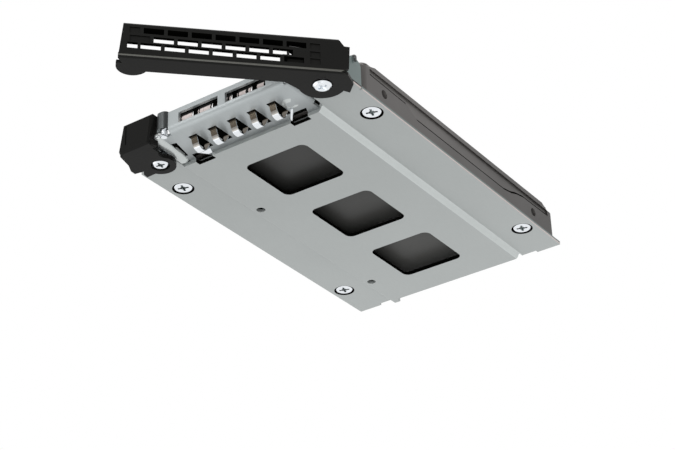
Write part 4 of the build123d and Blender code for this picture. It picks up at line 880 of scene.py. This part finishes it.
def screw_tree():
    """Screws on the start mesh's points, head down: a head with a cross recess, and a shank."""
    tree, given, result = geometry_tree("cross_screw", [
        ("Face Radius", "NodeSocketFloat", 2.7 * MM), ("Rim Radius", "NodeSocketFloat", 2.7 * MM),
        ("Neck Radius", "NodeSocketFloat", 1.45 * MM), ("Face Height", "NodeSocketFloat", 0.1 * MM),
        ("Head Height", "NodeSocketFloat", 0.8 * MM), ("Shank Radius", "NodeSocketFloat", 1.45 * MM),
        ("Shank Length", "NodeSocketFloat", 2.2 * MM), ("Arm Length", "NodeSocketFloat", 3.0 * MM),
        ("Arm Width", "NodeSocketFloat", 0.62 * MM), ("Arm Depth", "NodeSocketFloat", 0.6 * MM),
        ("Turn", "NodeSocketFloat", 0.0), ("Finish", "NodeSocketMaterial", None),
        ("Recess Finish", "NodeSocketMaterial", None)])

    def at_height(geometry, z, turn=None):
        place = add(tree, "ShaderNodeCombineXYZ", Z=z)
        move = add(tree, "GeometryNodeTransform", Geometry=geometry, Translation=place.outputs[0])
        if turn is not None:
            spin = add(tree, "ShaderNodeCombineXYZ", Z=turn)
            tree.links.new(spin.outputs[0], move.inputs["Rotation"])
        return move.outputs[0]

    face = add(tree, "GeometryNodeMeshCone", Vertices=56, Radius_Top=given.outputs["Rim Radius"],
               Radius_Bottom=given.outputs["Face Radius"], Depth=given.outputs["Face Height"])
    head = add(tree, "GeometryNodeMeshCone", Vertices=56, Radius_Top=given.outputs["Neck Radius"],
               Radius_Bottom=given.outputs["Rim Radius"], Depth=given.outputs["Head Height"])
    shank = add(tree, "GeometryNodeMeshCylinder", Vertices=40, Radius=given.outputs["Shank Radius"],
                Depth=given.outputs["Shank Length"])
    head_start = given.outputs["Face Height"]
    head_end = maths(tree, "ADD", head_start, given.outputs["Head Height"])
    shank_middle = maths(tree, "ADD", head_end, maths(tree, "MULTIPLY", given.outputs["Shank Length"], 0.5))
    solid = add(tree, "GeometryNodeMeshBoolean", operation="UNION")
    solid.solver = "EXACT"
    for part in (face.outputs[0], at_height(head.outputs[0], head_start),
                 at_height(shank.outputs[0], maths(tree, "SUBTRACT", shank_middle, 0.05 * MM))):
        tree.links.new(part, solid.inputs["Mesh 2"])
    size = add(tree, "ShaderNodeCombineXYZ", X=given.outputs["Arm Length"], Y=given.outputs["Arm Width"],
               Z=maths(tree, "MULTIPLY", given.outputs["Arm Depth"], 2.0))
    bar = add(tree, "GeometryNodeMeshCube", Size=size.outputs[0])
    core = add(tree, "GeometryNodeMeshCone", Vertices=4, Radius_Top=0.0,
               Radius_Bottom=maths(tree, "MULTIPLY", given.outputs["Arm Width"], 1.5),
               Depth=maths(tree, "MULTIPLY", given.outputs["Arm Depth"], 1.3))
    cut = add(tree, "GeometryNodeMeshBoolean", operation="DIFFERENCE", Mesh_1=solid.outputs[0])
    cut.solver = "EXACT"
    turn = given.outputs["Turn"]
    for part in (at_height(bar.outputs[0], 0.0, turn),
                 at_height(bar.outputs[0], 0.0, maths(tree, "ADD", turn, math.pi / 2)),
                 at_height(core.outputs[0], -0.01 * MM, maths(tree, "ADD", turn, math.pi / 4))):
        marked = add(tree, "GeometryNodeStoreNamedAttribute", data_type="BOOLEAN", domain="FACE",
                     Geometry=part, Name="recess", Value=True)
        tree.links.new(marked.outputs[0], cut.inputs["Mesh 2"])
    copies = add(tree, "GeometryNodeInstanceOnPoints", Points=given.outputs["Geometry"],
                 Instance=cut.outputs[0])
    close_tree(tree, given, result, copies.outputs[0])
    return tree


def points(name, places):
    mesh = bpy.data.meshes.new(name)
    mesh.from_pydata([metres(place) for place in places], [], [])
    return mesh


def screws():
    tree = screw_tree()
    places = points("drive_screw_places", [(x, y, 1.68) for x, y in DRIVE_SCREWS])
    sunk = grown("drive_screw_set", tree, places, "bright_zinc", Face_Radius=2.36 * MM,
                 Rim_Radius=2.46 * MM, Neck_Radius=1.45 * MM, Face_Height=0.06 * MM, Head_Height=0.74 * MM,
                 Shank_Radius=1.45 * MM, Shank_Length=2.2 * MM,
                 Arm_Length=3.1 * MM, Arm_Width=0.62 * MM, Arm_Depth=0.6 * MM, Turn=math.radians(20))
    standing_in(sunk, "tray", "drive_screws")
    place = points("latch_screw_place", [(*LATCH_PIVOT, -1.32)])
    turning = grown("latch_screw_head", tree, place, "bright_zinc", Face_Radius=1.75 * MM,
                    Rim_Radius=2.15 * MM, Neck_Radius=2.15 * MM, Face_Height=0.28 * MM, Head_Height=0.42 * MM,
                    Shank_Radius=1.25 * MM, Shank_Length=5.4 * MM, Arm_Length=2.5 * MM, Arm_Width=0.55 * MM,
                    Arm_Depth=0.5 * MM, Turn=math.radians(10))
    standing_in(turning, "tray", "latch_pivot_screw")


edged_sheets()
WIRE = spring_tree()
handle_springs(WIRE)
latch_spring(WIRE)
roll()
bead()
notch_lips()
sheared_edge()
relief_lines()
casting_rims()
keeper()
fingers()
screws()


# Studio

def floor():
    """A pale floor that shows only from above, so that it never hides the underside from a low camera."""
    reach = 1.5
    low = cad_low.z - 0.2 * MM
    mesh = bpy.data.meshes.new("floor")
    mesh.from_pydata([(-reach, -reach, low), (reach, -reach, low), (reach, reach, low), (-reach, reach, low)],
                     [], [(0, 1, 2, 3)])
    piece = link("floor", mesh)
    material, tree, shader = new_material("floor_paint")
    skin = placed(tree, PEBBLES, Size=300.0, Spread=5.0)
    tree.links.new(two_tone(tree, skin.outputs["Tone"], (0.80, 0.80, 0.80), (0.84, 0.84, 0.84)),
                   shader.inputs["Base Color"])
    shader.inputs["Roughness"].default_value = 0.8
    clear = tree.nodes.new("ShaderNodeBsdfTransparent")
    path = tree.nodes.new("ShaderNodeLightPath")
    side = tree.nodes.new("ShaderNodeNewGeometry")
    seen = maths(tree, "MULTIPLY", path.outputs["Is Camera Ray"],
                 maths(tree, "SUBTRACT", 1.0, side.outputs["Backfacing"]))
    blend = tree.nodes.new("ShaderNodeMixShader")
    tree.links.new(seen, blend.inputs["Fac"])
    tree.links.new(clear.outputs[0], blend.inputs[1])
    tree.links.new(shader.outputs[0], blend.inputs[2])
    tree.links.new(blend.outputs[0], tree.nodes["Material Output"].inputs["Surface"])
    mesh.materials.append(material)


def lamp(name, place, size, power):
    """A soft square lamp that faces the tray."""
    data = bpy.data.lights.new(name, "AREA")
    data.size = size
    data.energy = power
    piece = link(name, data)
    piece.location = place
    piece.rotation_euler = (AIM - Vector(place)).to_track_quat("-Z", "Y").to_euler()


def world():
    """White for the camera; in the metal, white from below and behind and dark from the front and above."""
    scenery = bpy.data.worlds.new("studio")
    scene.world = scenery
    scenery.use_nodes = True
    tree = scenery.node_tree
    tree.nodes.clear()
    direction = tree.nodes.new("ShaderNodeTexCoord").outputs["Generated"]
    towards = tree.nodes.new("ShaderNodeVectorMath")
    towards.operation = "DOT_PRODUCT"
    tree.links.new(direction, towards.inputs[0])
    towards.inputs[1].default_value = (0.0, 0.8, -0.6)
    fade = ranged(tree, towards.outputs["Value"], -0.55, 0.35, 0.45, 1.0, smooth=True)
    path = tree.nodes.new("ShaderNodeLightPath")
    seen = maths(tree, "MAXIMUM", path.outputs["Is Camera Ray"], path.outputs["Is Transmission Ray"])
    mirrored = maths(tree, "MULTIPLY", path.outputs["Is Glossy Ray"], maths(tree, "SUBTRACT", 1.0, seen))
    even = maths(tree, "SUBTRACT", 1.0, maths(tree, "MAXIMUM", seen, mirrored))
    shown = maths(tree, "ADD", seen, maths(tree, "MULTIPLY", mirrored, fade))
    level = maths(tree, "ADD", shown, maths(tree, "MULTIPLY", even, 0.55))
    sky = tree.nodes.new("ShaderNodeBackground")
    sky.inputs["Color"].default_value = (1.0, 1.0, 1.0, 1.0)
    tree.links.new(level, sky.inputs["Strength"])
    output = tree.nodes.new("ShaderNodeOutputWorld")
    tree.links.new(sky.outputs[0], output.inputs["Surface"])


def camera():
    """The photograph's viewpoint."""
    back = Vector((math.sin(AZIMUTH) * math.cos(ELEVATION), -math.cos(AZIMUTH) * math.cos(ELEVATION),
                   math.sin(ELEVATION)))
    right = Vector((0, 0, 1)).cross(back).normalized()
    up = back.cross(right)
    turned_right = right * math.cos(ROLL) + up * math.sin(ROLL)
    turned_up = up * math.cos(ROLL) - right * math.sin(ROLL)
    data = bpy.data.cameras.new("photo_camera")
    data.lens = LENS_MM
    data.sensor_width = SENSOR_MM
    data.clip_start = 0.01
    data.clip_end = 10.0
    piece = link("photo_camera", data)
    place = AIM - turned_right * SIDE_STEP[0] - turned_up * SIDE_STEP[1] + back * DISTANCE
    turn = Matrix((turned_right, turned_up, back)).transposed().to_4x4()
    piece.matrix_world = Matrix.Translation(place) @ turn
    scene.camera = piece


floor()
world()
camera()
lamp("key", (0.35, -0.55, -0.35), 0.5, 1.6)
lamp("fill", (-0.55, -0.25, -0.30), 0.6, 0.7)
lamp("top", (0.15, -0.10, 0.70), 0.7, 1.6)
lamp("front", (-0.10, -0.70, 0.12), 0.4, 2.4)
scene.view_settings.view_transform = "Standard"
